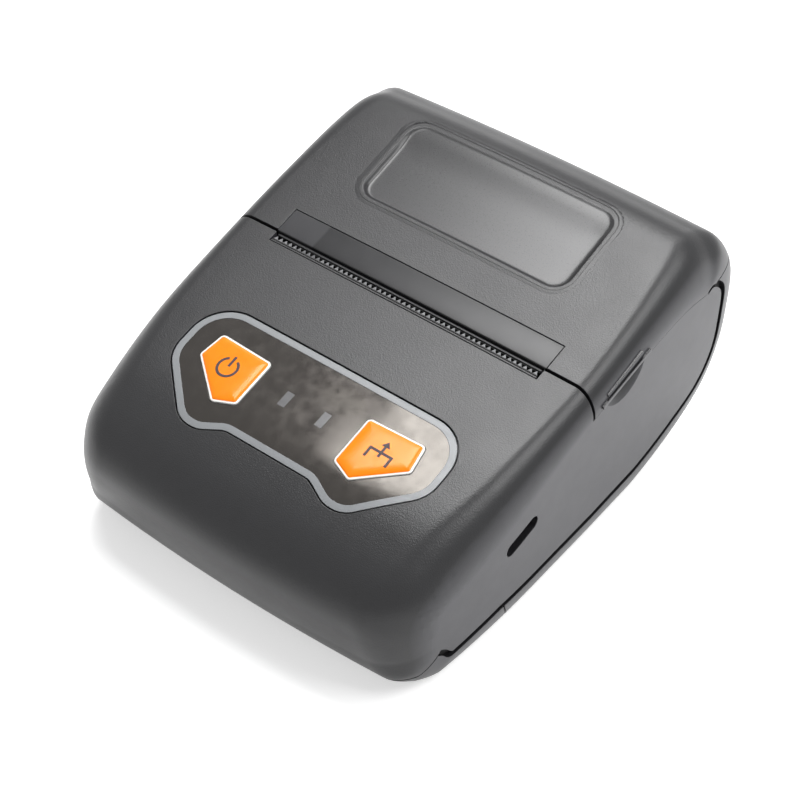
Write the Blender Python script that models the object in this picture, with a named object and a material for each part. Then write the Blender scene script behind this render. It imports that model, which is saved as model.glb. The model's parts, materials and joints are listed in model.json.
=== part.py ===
"""Pocket receipt printer: a wedge-shaped case with a hinged paper cover, 58 mm paper.

X runs across the printer (its right side is +X), +Y points to the back, +Z up.
The origin is on the table, under the middle of the case.
"""
import math

import bmesh
import bpy
from mathutils import Matrix, Vector

MM = 0.001
DEG = math.pi / 180

# Case
BODY_WIDTH = 79.5 * MM
BODY_LENGTH = 99.5 * MM
BODY_HEIGHT = 46.1 * MM
FOOT_HEIGHT = 0.6 * MM
WALL = 2.0 * MM
FLAT_LEAD = 6.0 * MM

# Clearances
GAP = 0.3 * MM
SEAM = 0.35 * MM
SIDE_GROOVE = 0.9 * MM
TONGUE = 1.0 * MM
RUNNING_GAP = 0.4 * MM
OVERRUN = 4.0 * MM

# Side outline from the front edge of the base over the top to the back. Each row holds the shares
# of length and height of the middle line, those of the flat cheek's edge beside it, the crown (how
# far the skin has sunk towards the cheek's edge where the rounding starts) and the rounding's width,
# both as shares of the distance between the two lines.
OUTLINE_SHARES = (
    (-0.376, 0.000, -0.350, 0.112, 0.06, 0.42), (-0.423, 0.028, -0.370, 0.153, 0.08, 0.42),
    (-0.465, 0.082, -0.388, 0.190, 0.11, 0.60), (-0.484, 0.178, -0.391, 0.236, 0.12, 0.86),
    (-0.500, 0.324, -0.388, 0.295, 0.12, 0.86), (-0.495, 0.419, -0.380, 0.342, 0.10, 0.86),
    (-0.460, 0.516, -0.370, 0.387, 0.08, 0.86), (-0.367, 0.619, -0.320, 0.422, 0.05, 0.83),
    (-0.214, 0.707, -0.189, 0.533, 0.05, 0.72), (0.021, 0.811, 0.025, 0.682, 0.06, 0.72),
    (0.186, 0.902, 0.198, 0.758, 0.06, 0.72), (0.288, 0.963, 0.292, 0.782, 0.06, 0.72),
    (0.364, 0.998, 0.341, 0.776, 0.06, 0.72), (0.412, 0.967, 0.367, 0.768, 0.07, 0.68),
    (0.454, 0.916, 0.390, 0.785, 0.07, 0.63), (0.494, 0.767, 0.425, 0.720, 0.07, 0.61),
    (0.500, 0.565, 0.430, 0.591, 0.07, 0.61), (0.483, 0.361, 0.420, 0.419, 0.07, 0.61),
    (0.423, 0.177, 0.378, 0.290, 0.05, 0.48), (0.316, 0.062, 0.290, 0.206, 0.02, 0.42),
    (0.183, 0.000, 0.174, 0.145, 0.00, 0.42),
)
BASE_SHARES = ((0.043, 0.000, 0.043, 0.132, 0.00, 0.42), (-0.229, 0.000, -0.229, 0.132, 0.00, 0.42))
NOSE_TAPER = 2.1 * MM
TAPER_FROM = -0.129 * BODY_LENGTH
TAPER_TO = -0.430 * BODY_LENGTH
TAPER_STEPS = 5
CROWN_STEPS = 2
SPAN_STEPS = 3
OUTER_EDGE_STEPS = 4
INNER_EDGE_STEPS = 3
SEARCH_STEPS = 12

# Cover, its front seam and its hinge
SEAM_Y = 0.0214 * BODY_LENGTH
COVER_LOW = 0.5640 * BODY_HEIGHT
HINGE_HEIGHT = 0.3796 * BODY_HEIGHT
BARREL_RADIUS = 3.0 * MM
BARREL_WALL = 1.4 * MM
PIN_RADIUS = 1.2 * MM
KNUCKLE_INNER = 0.3874 * BODY_WIDTH
REAR_PANEL_HALF = 0.4151 * BODY_WIDTH
RECESS_HALF = 0.2855 * BODY_WIDTH
RECESS_MID_Y = 0.2533 * BODY_LENGTH
RECESS_LENGTH = 19.2 * MM
RECESS_CORNER = 3.6 * MM
RECESS_DEPTH = 0.8 * MM

# Finger grips
GRIP_RADIUS = 0.45 * MM
GRIP_SHARES = (((0.044, 0.728), (0.185, 0.794)), ((0.061, 0.757), (0.164, 0.813)))
GRIP_SINK = 0.1 * MM
SCOOP_RADIUS = 20.0 * MM
SCOOP_SINK = 0.9 * MM
SCOOP_Y = 0.1085 * BODY_LENGTH
SCOOP_Z = 0.7961 * BODY_HEIGHT

# Paper exit, measured along the top skin from the seam
SLOT_HALF = 0.3698 * BODY_WIDTH
SLOT_WIDTH = 1.9 * MM
WINDOW_HALF = 0.3660 * BODY_WIDTH
WINDOW_DEPTH = 5.0 * MM
WINDOW_THICKNESS = 1.3 * MM
WINDOW_RISE = 0.25 * MM
WINDOW_BED = 1.3 * MM
TOOTH_COUNT = 54
TOOTH_HEIGHT = 0.9 * MM
TEAR_BAR_HALF = 0.3648 * BODY_WIDTH
TEAR_BAR_DEPTH = 4.0 * MM
TEAR_BAR_THICKNESS = 0.5 * MM
TEAR_BAR_SINK = 1.2 * MM

# Front seam and battery door
LIP_SEAM_Z = 5.1 * MM
LIP_RAMP_Y = -0.3940 * BODY_LENGTH
LIP_RAMP_RISE = 5.0 * MM
DOOR_BACK_Y = -0.1950 * BODY_LENGTH
DOOR_LEAN = 0.385
DOOR_HEIGHT = 0.2603 * BODY_HEIGHT
DOOR_TONGUE = 3.0 * MM
DOOR_TONGUE_WIDTH = 14.0 * MM
BATTERY_LENGTH = 0.6541 * BODY_WIDTH
BATTERY_WIDTH = 20.0 * MM
BATTERY_HEIGHT = 0.2082 * BODY_HEIGHT
BATTERY_CORNER = 4.2 * MM
BATTERY_MID_Y = -0.3176 * BODY_LENGTH
BATTERY_BASE = 3.3 * MM
BAY_WALL = 1.4 * MM
BAY_PLAY = 0.6 * MM
BAY_LIP_Z = 8.2 * MM
BAY_LEDGE = 1.6 * MM
CONTACT_PITCH = 6.0 * MM
CONTACT_HALF = 1.0 * MM
CONTACT_TAIL = 3.0 * MM

# Key panel and keys, measured along the panel from its middle
PANEL_MID_Y = -0.2754 * BODY_LENGTH
PANEL_HALF = 0.3447 * BODY_WIDTH
PANEL_BACK = 11.4 * MM
PANEL_SIDE_FRONT = -2.8 * MM
PANEL_LOBE_HALF = 0.2113 * BODY_WIDTH
PANEL_LOBE_FRONT = -12.5 * MM
PANEL_NOTCH_HALF = 0.1132 * BODY_WIDTH
PANEL_NOTCH_FRONT = -10.0 * MM
PANEL_BACK_CORNER = 6.0 * MM
PANEL_SIDE_CORNER = 2.6 * MM
PANEL_LOBE_CORNER = 3.4 * MM
PANEL_NOTCH_CORNER = 2.0 * MM
PANEL_THICKNESS = 0.6 * MM
PANEL_SINK = 0.15 * MM
KEY_INNER = 0.1333 * BODY_WIDTH
KEY_BACK = 6.2 * MM
KEY_BACK_OUTER = 6.7 * MM
KEY_OUTER = 0.2792 * BODY_WIDTH
KEY_SIDE = 0.2906 * BODY_WIDTH
KEY_SIDE_FRONT = 1.2 * MM
KEY_TIP = 0.1881 * BODY_WIDTH
KEY_TIP_FRONT = -5.4 * MM
KEY_INNER_FRONT = -3.7 * MM
KEY_CORNER = 0.9 * MM
KEY_RISE = 0.6 * MM
KEY_DOME = 0.4 * MM
KEY_TRAVEL = 0.4 * MM
KEY_FLANGE = 0.9 * MM
KEY_FLANGE_THICKNESS = 0.7 * MM
KEY_STEM_RADIUS = 1.6 * MM
KEY_MID = 0.2088 * BODY_WIDTH
KEY_MID_ALONG = 1.2 * MM
LED_HALF = 1.0 * MM
LED_X = 0.0516 * BODY_WIDTH
LED_FRONT = -0.1 * MM
LED_LENGTH = 2.7 * MM
LED_SIZE = 1.6 * MM
LED_HEIGHT = 0.8 * MM

# Main board, parallel to the key panel
BOARD_DEPTH = 0.2082 * BODY_HEIGHT
BOARD_THICKNESS = 1.6 * MM
BOARD_HALF = 0.4340 * BODY_WIDTH
BOARD_BACK = 14.0 * MM
BOARD_FRONT = -12.5 * MM
BOARD_CORNER = 3.0 * MM
SWITCH_SIZE = 6.0 * MM
SWITCH_HEIGHT = 3.0 * MM
PLUNGER_RADIUS = 1.5 * MM
PLUNGER_HEIGHT = 0.7 * MM
CHIP_SHARES = ((-0.15, -0.35, 0.10, 0.28), (0.02, 0.55, 0.07, 0.22), (0.28, -0.55, 0.05, 0.16))
CHIP_HEIGHT = 1.1 * MM
USB_ALONG = 6.7 * MM
USB_MOUTH_WIDTH = 8.3 * MM
USB_MOUTH_HEIGHT = 2.6 * MM
USB_WALL = 0.35 * MM
USB_LENGTH = 7.3 * MM
USB_TONGUE = 0.6 * MM
USB_TONGUE_WIDTH = 6.6 * MM
BOSS_RADIUS = 2.6 * MM
BOSS_X = BODY_WIDTH / 2 - 13.35 * MM
BOSS_BACK = 11.0 * MM
BOSS_FRONT = -8.5 * MM
SCREW_RADIUS = 0.9 * MM
SCREW_HEAD_RADIUS = 1.9 * MM
SCREW_HEAD = 1.2 * MM
SCREW_LENGTH = 6.0 * MM
POST_X = 0.4264 * BODY_WIDTH
POST_FRONT_Y = -0.1568 * BODY_LENGTH
POST_BACK_Y = 0.1528 * BODY_LENGTH
POST_TOP = 13.0 * MM
SEAT_HEIGHT = 1.6 * MM

# Paper path
PAPER_HALF = 0.3635 * BODY_WIDTH
ROLL_Y = 0.2633 * BODY_LENGTH
ROLL_Z = 0.5098 * BODY_HEIGHT
BIN_RADIUS = 0.1729 * BODY_LENGTH
BIN_WALL = 1.2 * MM
BIN_FRONT_ANGLE = 185.0
BIN_BACK_ANGLE = 268.0
BIN_RIM_Z = 0.5857 * BODY_HEIGHT
BIN_RIB_HALF = 0.2516 * BODY_WIDTH
PLATEN_RADIUS = 0.0868 * BODY_HEIGHT
PLATEN_HALF = 0.3572 * BODY_WIDTH
PLATEN_SINK = 0.1822 * BODY_HEIGHT
SHAFT_RADIUS = 1.5 * MM
BUSH_RADIUS = 2.6 * MM
ARM_THICKNESS = 1.4 * MM
ARM_RIM = 1.3 * MM
SIDE_PLATE = 1.1 * MM
GEAR_THICKNESS = 2.0 * MM
GEAR_MODULE = 0.0130 * BODY_HEIGHT
GEAR_ADDENDUM = 0.75 * GEAR_MODULE
GEAR_DEDENDUM = 1.3 * GEAR_MODULE
TOOTH_WIDTH = 1.033 * GEAR_MODULE
PINION_TEETH = 10
IDLER_TEETH = 25
PLATEN_TEETH = 16
IDLER_ANGLE = 225.0 * DEG
PINION_ANGLE = 260.0 * DEG
STUD_RADIUS = 1.0 * MM
MOTOR_RADIUS = 0.1215 * BODY_HEIGHT
MOTOR_LENGTH = 14.0 * MM
HEAD_STRIP = 0.7 * MM
HEAD_STRIP_HEIGHT = 7.0 * MM
HEAD_SINK = 2.0 * MM
HEAD_HALF = 0.3472 * BODY_WIDTH
HEAD_HEIGHT = 0.2863 * BODY_HEIGHT
HEAD_ROD_RADIUS = 1.0 * MM
HEAD_ROD_DROP = 9.6 * MM
SPRING_RADIUS = 1.5 * MM
SPRING_WIRE = 0.25 * MM
SPRING_LENGTH = 3.6 * MM
SPRING_TURNS = 5
SPRING_X = 0.1887 * BODY_WIDTH
FRAME_WALL = 1.2 * MM
FRAME_FLOOR = 0.8 * MM

# Feet
FOOT_RADIUS = 3.6 * MM
FOOT_X = 0.3396 * BODY_WIDTH
FOOT_BACK_Y = 0.1327 * BODY_LENGTH
FOOT_FRONT_Y = -0.3146 * BODY_LENGTH
FOOT_SINK = 0.6 * MM

ROUND_SEGMENTS = 24
SMALL_SEGMENTS = 16

TO_SIDE = Matrix(((0, 0, 1, 0), (1, 0, 0, 0), (0, 1, 0, 0), (0, 0, 0, 1)))
LEVEL = Matrix.Identity(4)

FINISHES = {
    "matte_black": ((0.035, 0.035, 0.038), 0.55, 0.0),
    "smoked": ((0.05, 0.05, 0.055), 0.15, 0.0),
    "gloss_black": ((0.012, 0.011, 0.012), 0.12, 0.0),
    "orange": ((1.0, 0.27, 0.0), 0.25, 0.0),
    "lens_grey": ((0.25, 0.25, 0.26), 0.2, 0.0),
    "steel": ((0.62, 0.62, 0.64), 0.3, 1.0),
    "aluminium": ((0.70, 0.71, 0.72), 0.4, 1.0),
    "rubber": ((0.02, 0.02, 0.02), 0.8, 0.0),
    "ceramic": ((0.80, 0.78, 0.72), 0.3, 0.0),
    "white_plastic": ((0.75, 0.75, 0.73), 0.45, 0.0),
    "board_green": ((0.02, 0.16, 0.07), 0.35, 0.0),
    "chip_black": ((0.02, 0.02, 0.022), 0.5, 0.0),
    "battery_blue": ((0.02, 0.07, 0.30), 0.4, 0.0),
    "brass": ((0.75, 0.55, 0.22), 0.3, 1.0),
}


# Scene and materials

def make_collection(name):
    """Return the named collection, linked to the scene."""
    collection = bpy.data.collections.get(name) or bpy.data.collections.new(name)
    if name not in bpy.context.scene.collection.children:
        bpy.context.scene.collection.children.link(collection)
    return collection


for old in list(bpy.data.objects):
    bpy.data.objects.remove(old, do_unlink=True)
PRINTER = make_collection("receipt_printer")
TOOLS = make_collection("cutters")


def paint(thing, look):
    """Give an object its own Principled material."""
    colour, roughness, metallic = FINISHES[look]
    material = bpy.data.materials.new(f"{thing.name}_{look}")
    material.use_nodes = True
    shader = material.node_tree.nodes["Principled BSDF"]
    shader.inputs["Base Color"].default_value = (*colour, 1)
    shader.inputs["Roughness"].default_value = roughness
    shader.inputs["Metallic"].default_value = metallic
    thing.data.materials.clear()
    thing.data.materials.append(material)


# Shape helpers

def helper_object(bm, name):
    """Turn a bmesh into a helper solid with outward faces."""
    bmesh.ops.recalc_face_normals(bm, faces=bm.faces)
    mesh = bpy.data.meshes.new(name)
    bm.to_mesh(mesh)
    bm.free()
    thing = bpy.data.objects.new(name, mesh)
    TOOLS.objects.link(thing)
    thing.hide_render = True
    thing.display_type = "WIRE"
    return thing


def block(name, low, high, place=LEVEL):
    """Box between two corners, in the frame that place gives."""
    bm = bmesh.new()
    bmesh.ops.create_cube(bm, size=1)
    low, high = Vector(low), Vector(high)
    bmesh.ops.scale(bm, vec=high - low, verts=bm.verts)
    bmesh.ops.translate(bm, vec=(low + high) / 2, verts=bm.verts)
    bmesh.ops.transform(bm, matrix=place, verts=bm.verts)
    return helper_object(bm, name)


def rod(name, centre, radius, start, end, place=TO_SIDE, segments=ROUND_SEGMENTS):
    """Cylinder from start to end along the third axis; the others give its centre."""
    bm = bmesh.new()
    bmesh.ops.create_cone(bm, cap_ends=True, segments=segments, radius1=radius, radius2=radius,
                          depth=end - start)
    bmesh.ops.translate(bm, vec=(centre[0], centre[1], (start + end) / 2), verts=bm.verts)
    bmesh.ops.transform(bm, matrix=place, verts=bm.verts)
    return helper_object(bm, name)


def rod_between(name, start, end, radius, segments=SMALL_SEGMENTS):
    """Cylinder between two points."""
    start, end = Vector(start), Vector(end)
    turn = (end - start).to_track_quat("Z", "Y").to_matrix().to_4x4()
    return rod(name, (0, 0), radius, 0, (end - start).length, Matrix.Translation(start) @ turn, segments)


def ball(name, centre, radius):
    """Sphere."""
    bm = bmesh.new()
    bmesh.ops.create_uvsphere(bm, u_segments=2 * ROUND_SEGMENTS, v_segments=2 * ROUND_SEGMENTS, radius=radius)
    bmesh.ops.translate(bm, vec=centre, verts=bm.verts)
    return helper_object(bm, name)


def plate(name, outlines, start, end, place=TO_SIDE):
    """Flat outline with any holes, extruded from start to end along the third axis."""
    curve = bpy.data.curves.new(name, "CURVE")
    curve.dimensions = "2D"
    curve.fill_mode = "BOTH"
    curve.extrude = (end - start) / 2
    for outline in outlines:
        spline = curve.splines.new("POLY")
        spline.points.add(len(outline) - 1)
        for point, (a, b) in zip(spline.points, outline):
            point.co = (a, b, 0, 1)
        spline.use_cyclic_u = True
    guide = bpy.data.objects.new(name + "_outline", curve)
    TOOLS.objects.link(guide)
    bpy.context.view_layer.update()
    mesh = bpy.data.meshes.new_from_object(guide.evaluated_get(bpy.context.evaluated_depsgraph_get()))
    bpy.data.objects.remove(guide)
    bm = bmesh.new()
    bm.from_mesh(mesh)
    bpy.data.meshes.remove(mesh)
    bmesh.ops.remove_doubles(bm, verts=bm.verts, dist=GAP / 100)
    bmesh.ops.translate(bm, vec=(0, 0, (start + end) / 2), verts=bm.verts)
    bmesh.ops.transform(bm, matrix=place, verts=bm.verts)
    return helper_object(bm, name)


def settle(thing):
    """Write an object's modifiers into its mesh and clean it."""
    bpy.context.view_layer.update()
    mesh = bpy.data.meshes.new_from_object(thing.evaluated_get(bpy.context.evaluated_depsgraph_get()))
    thing.modifiers.clear()
    old_mesh = thing.data
    bm = bmesh.new()
    bm.from_mesh(mesh)
    bmesh.ops.remove_doubles(bm, verts=bm.verts, dist=GAP / 100)
    bmesh.ops.dissolve_degenerate(bm, edges=bm.edges, dist=GAP / 100)
    bm.to_mesh(mesh)
    bm.free()
    thing.data = mesh
    bpy.data.meshes.remove(old_mesh)


def combine(target, others, operation):
    """Join, cut or keep a solid with others, one after the other."""
    for other in others:
        change = target.modifiers.new(other.name, "BOOLEAN")
        change.operation = operation
        change.object = other
        change.solver = "EXACT"
    settle(target)
    return target


def cut(target, *others):
    """Take the other solids out of the target."""
    return combine(target, others, "DIFFERENCE")


def join(target, *others):
    """Join the other solids to the target."""
    return combine(target, others, "UNION")


def keep(target, *others):
    """Keep what the target shares with each of the others."""
    return combine(target, others, "INTERSECT")


def twin(thing, name):
    """Separate copy of a helper solid."""
    other = bpy.data.objects.new(name, thing.data.copy())
    TOOLS.objects.link(other)
    other.hide_render = True
    other.display_type = "WIRE"
    return other


def finish(thing, name, look, origin=(0, 0, 0), smooth=30 * DEG):
    """Name a finished piece, colour it, set its origin and file it with the printer."""
    for home in list(thing.users_collection):
        home.objects.unlink(thing)
    PRINTER.objects.link(thing)
    thing.hide_render = False
    thing.display_type = "TEXTURED"
    thing.name = name
    thing.data.name = name
    paint(thing, look)
    bm = bmesh.new()
    bm.from_mesh(thing.data)
    bmesh.ops.recalc_face_normals(bm, faces=bm.faces)
    bm.to_mesh(thing.data)
    bm.free()
    thing.data.transform(Matrix.Translation(-Vector(origin)))
    thing.location = origin
    thing.data.shade_smooth()
    thing.data.set_sharp_from_angle(angle=smooth)
    return thing


def finish_set(parts, name, look):
    """Finish alike pieces, each as its own numbered object."""
    for number, part in enumerate(parts, 1):
        finish(part, f"{name}_{number}", look)


def rounded(corners, steps=4):
    """Closed outline from (a, b, corner radius) rows, with an arc at each corner."""
    outline = []
    total = len(corners)
    for i, (a, b, radius) in enumerate(corners):
        here = Vector((a, b))
        back = (Vector(corners[i - 1][:2]) - here).normalized()
        ahead = (Vector(corners[(i + 1) % total][:2]) - here).normalized()
        if radius <= 0:
            outline.append((a, b))
            continue
        half = back.angle(ahead) / 2
        centre = here + (back + ahead).normalized() * radius / math.sin(half)
        start = here + back * radius / math.tan(half) - centre
        end = here + ahead * radius / math.tan(half) - centre
        sweep = math.atan2(start.x * end.y - start.y * end.x, start.dot(end))
        for k in range(steps + 1):
            angle = sweep * k / steps
            c, s = math.cos(angle), math.sin(angle)
            outline.append((centre.x + start.x * c - start.y * s, centre.y + start.x * s + start.y * c))
    return outline


def grown(corners, margin):
    """The same corner rows, moved outward by a margin; the rows run anticlockwise."""
    moved = []
    total = len(corners)
    for i, (a, b, radius) in enumerate(corners):
        here = Vector((a, b))
        into = (here - Vector(corners[i - 1][:2])).normalized()
        out = (Vector(corners[(i + 1) % total][:2]) - here).normalized()
        normal_in = Vector((into.y, -into.x))
        normal_out = Vector((out.y, -out.x))
        spot = here + (normal_in + normal_out) * margin / (1 + normal_in.dot(normal_out))
        convex = into.x * out.y - into.y * out.x > 0
        moved.append((spot.x, spot.y, max(radius + (margin if convex else -margin), 0)))
    return moved


def circle(centre, radius, segments=SMALL_SEGMENTS):
    """Round outline."""
    turns = [2 * math.pi * k / segments for k in range(segments)]
    return [(centre[0] + radius * math.cos(t), centre[1] + radius * math.sin(t)) for t in turns]


def on_both_sides(points):
    """The same points and their mirror images across the middle of the printer."""
    return [(side * x, *rest) for side in (1, -1) for x, *rest in points]


def step_from(point, distance, angle):
    """Point at a distance and an angle from another."""
    return (point[0] + distance * math.cos(angle), point[1] + distance * math.sin(angle))


# Outer form of the case

def case_rows(steps):
    """Smoothed rows of the side outline: middle point, cheek point, and (crown, rounding) shares."""
    def sized(rows):
        return [Vector((a * BODY_LENGTH, b * BODY_HEIGHT + FOOT_HEIGHT,
                        c * BODY_LENGTH, d * BODY_HEIGHT + FOOT_HEIGHT)) for a, b, c, d, *_ in rows]

    rows = sized(OUTLINE_SHARES)
    lead = Vector((FLAT_LEAD, 0, FLAT_LEAD, 0))
    chain = [rows[0] + lead, *rows, rows[-1] - lead]
    bends = [Vector(row[4:]) for row in OUTLINE_SHARES]
    bends.append(bends[-1])
    smooth = []
    for n, (p0, p1, p2, p3) in enumerate(zip(chain, chain[1:], chain[2:], chain[3:])):
        t1 = math.sqrt((p1 - p0).length)
        t2 = t1 + math.sqrt((p2 - p1).length)
        t3 = t2 + math.sqrt((p3 - p2).length)
        for k in range(steps):
            t = t1 + (t2 - t1) * k / steps
            a1 = p0 * ((t1 - t) / t1) + p1 * (t / t1)
            a2 = p1 * ((t2 - t) / (t2 - t1)) + p2 * ((t - t1) / (t2 - t1))
            a3 = p2 * ((t3 - t) / (t3 - t2)) + p3 * ((t - t2) / (t3 - t2))
            b1 = a1 * ((t2 - t) / t2) + a2 * (t / t2)
            b2 = a2 * ((t3 - t) / (t3 - t1)) + a3 * ((t - t1) / (t3 - t1))
            smooth.append((b1 * ((t2 - t) / (t2 - t1)) + b2 * ((t - t1) / (t2 - t1)),
                           bends[n].lerp(bends[n + 1], k / steps)))
    smooth.append((rows[-1], bends[-1]))
    smooth += zip(sized(BASE_SHARES), [Vector(row[4:]) for row in BASE_SHARES])
    return [(Vector(row[:2]), Vector(row[2:]), bend) for row, bend in smooth]


def shifted(outline, amount):
    """Closed outline moved outward by an amount; it runs clockwise like the case outline."""
    total = len(outline)
    moved = []
    for i, here in enumerate(outline):
        along = (Vector(outline[(i + 1) % total]) - Vector(outline[i - 1])).normalized()
        moved.append(Vector(here) + Vector((-along.y, along.x)) * amount)
    return moved


ROWS = case_rows(SPAN_STEPS)
MIDDLE_LINE = [row[0] for row in ROWS]
CHEEK_LINE = [row[1] for row in ROWS]
BENDS = [row[2] for row in ROWS]
FINE_LINE = [row[0] for row in case_rows(SEARCH_STEPS)]


def narrow(bm):
    """Draw a mesh in towards the middle of the printer along the nose, as the cheeks do."""
    span = TAPER_FROM - TAPER_TO
    for k in range(TAPER_STEPS):
        geometry = bm.verts[:] + bm.edges[:] + bm.faces[:]
        bmesh.ops.bisect_plane(bm, geom=geometry, plane_co=(0, TAPER_FROM - span * k / TAPER_STEPS, 0),
                               plane_no=(0, 1, 0))
    for vert in bm.verts:
        share = max((TAPER_FROM - vert.co.y) / span, 0)
        vert.co.x *= 1 - NOSE_TAPER / (BODY_WIDTH / 2) * share ** 2


def narrowed(thing):
    """Narrow a helper solid like the cheeks."""
    bm = bmesh.new()
    bm.from_mesh(thing.data)
    narrow(bm)
    bmesh.ops.triangulate(bm, faces=bm.faces)
    bm.to_mesh(thing.data)
    bm.free()
    return thing


def case_block(name, inset, edge_steps):
    """Solid of the whole case, its skin moved inward by the inset. It is a loft from one cheek
    over the middle line to the other, with rounded edges whose size changes on the way."""
    bm = bmesh.new()
    line = shifted(MIDDLE_LINE, -inset)
    turns = [math.pi / 2 * k / edge_steps for k in range(edge_steps, 0, -1)]
    flats = [k / CROWN_STEPS for k in range(CROWN_STEPS, 0, -1)]
    half = [(angle, 1) for angle in turns] + [(0, flat) for flat in flats]
    rings = []
    for side, angle, flat in ([(-1, *spot) for spot in half] + [(0, 0, 0)] + [(1, *spot) for spot in half[::-1]]):
        ring = []
        for middle, outer, cheek, (crown, width) in zip(line, MIDDLE_LINE, CHEEK_LINE, BENDS):
            reach = (outer - cheek).length
            x = (BODY_WIDTH / 2 - width * reach) * flat + (width * reach - inset) * math.sin(angle)
            shoulder = middle + (cheek - outer) * crown * flat ** 2
            spot = shoulder + (cheek - shoulder) * (1 - math.cos(angle))
            ring.append(bm.verts.new((side * x, spot.x, spot.y)))
        rings.append(ring)
    total = len(line)
    for ring, after in zip(rings, rings[1:]):
        for i in range(total):
            j = (i + 1) % total
            bm.faces.new((ring[i], ring[j], after[j], after[i]))
    bm.faces.new(rings[0])
    bm.faces.new(rings[-1])
    narrow(bm)
    bmesh.ops.triangulate(bm, faces=bm.faces)
    return helper_object(bm, name)


def top_at(y):
    """Height of the top skin over y."""
    upper = [p for p in FINE_LINE if p.y > BODY_HEIGHT / 2]
    for a, b in zip(upper, upper[1:]):
        if a.x <= y <= b.x:
            return a.y + (b.y - a.y) * (y - a.x) / (b.x - a.x)
    return upper[-1].y


def back_at(z):
    """Depth (y) of the back skin at height z."""
    rear = [p for p in FINE_LINE if p.x > BODY_LENGTH / 3]
    for a, b in zip(rear, rear[1:]):
        if b.y <= z <= a.y:
            return a.x + (b.x - a.x) * (z - a.y) / (b.y - a.y)
    return rear[-1].x


def surface_place(y, reach):
    """Frame on the top skin at y, its second axis along the skin towards the back."""
    rise = top_at(y + reach) - top_at(y - reach)
    height = (top_at(y + reach) + top_at(y - reach)) / 2
    return Matrix.Translation((0, y, height)) @ Matrix.Rotation(math.atan2(rise, 2 * reach), 4, "X")


# Places worked out from the driving sizes

HALF = BODY_WIDTH / 2
INNER_HALF = HALF - WALL
FAR = BODY_LENGTH
HINGE = (back_at(HINGE_HEIGHT) - BARREL_RADIUS, HINGE_HEIGHT)
POST_RADIUS = math.dist(HINGE, max(CHEEK_LINE, key=lambda p: p.y + p.x / 2))
PANEL_PLACE = surface_place(PANEL_MID_Y, PANEL_BACK) @ Matrix.Translation((0, 0, -PANEL_SINK))
SLOT_PLACE = surface_place(SEAM_Y, WINDOW_DEPTH)
RECESS_PLACE = surface_place(RECESS_MID_Y, RECESS_LENGTH / 2)
KEY_AXIS = PANEL_PLACE.to_3x3() @ Vector((0, 0, 1))
PLATEN = (SEAM_Y + GAP + PLATEN_RADIUS + GAP, top_at(SEAM_Y + PLATEN_RADIUS) - PLATEN_SINK)
IDLER = step_from(PLATEN, GEAR_MODULE * (PLATEN_TEETH + IDLER_TEETH) / 2, IDLER_ANGLE)
PINION = step_from(IDLER, GEAR_MODULE * (IDLER_TEETH + PINION_TEETH) / 2, PINION_ANGLE)
FRAME_HALF = PLATEN_HALF + GAP
ARM_HALF = FRAME_HALF + SIDE_PLATE + GAP
GEAR_HALF = ARM_HALF + ARM_THICKNESS + GAP
BIN_HALF = PAPER_HALF + RUNNING_GAP
FLOOR_Z = FOOT_HEIGHT + WALL
DOOR_AXIS = (0, DOOR_BACK_Y - SEAM, FOOT_HEIGHT)


# Case shells

def core(name, shift):
    """Everything inside the cheek's outline, from side to side."""
    return plate(name, [shifted(CHEEK_LINE, shift)], -HALF - OVERRUN, HALF + OVERRUN)


def cover_space(name, margin, shift):
    """Space of the cover: behind the front seam, above the cheeks, and down the back between
    the corner posts, whose tops follow an arc about the hinge."""
    reach = HALF + OVERRUN
    top = BODY_HEIGHT + OVERRUN
    upper = block(name, (-reach, SEAM_Y + margin, COVER_LOW), (reach, FAR, top))
    cut(upper, rod(name + "_arc", HINGE, POST_RADIUS + margin, -reach - WALL, reach + WALL,
                   segments=4 * ROUND_SEGMENTS))
    rear = block(name + "_rear", (-REAR_PANEL_HALF + margin, HINGE[0] - OVERRUN, HINGE_HEIGHT),
                 (REAR_PANEL_HALF - margin, FAR, top - WALL))
    join(upper, rear)
    return cut(upper, core(name + "_core", shift))


def tray_space(name, margin, shift):
    """Space of the base: below the front seam and outside the cheeks, up to the cover behind."""
    lip = LIP_SEAM_Z - margin
    middle = BODY_HEIGHT / 2
    rear = HINGE[0] - 2 * OVERRUN
    outline = [(-FAR, lip), (LIP_RAMP_Y - LIP_RAMP_RISE / 2, lip),
               (LIP_RAMP_Y + LIP_RAMP_RISE / 2, lip + LIP_RAMP_RISE), (0, middle), (rear, middle),
               (rear, FAR), (FAR, FAR), (FAR, -FAR), (-FAR, -FAR)]
    region = plate(name, [outline], -HALF - OVERRUN, HALF + OVERRUN)
    return cut(region, core(name + "_core", shift))


def door_space(name, margin):
    """Space of the battery door: the front of the base, up to a leaning seam."""
    lean = DOOR_LEAN * (DOOR_HEIGHT - FOOT_HEIGHT)
    back = DOOR_BACK_Y - margin
    outline = [(-FAR, -OVERRUN), (back, -OVERRUN), (back, FOOT_HEIGHT), (back - lean, DOOR_HEIGHT),
               (-FAR, DOOR_HEIGHT)]
    return plate(name, [outline], -HALF - 2 * OVERRUN, HALF + 2 * OVERRUN)


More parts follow.
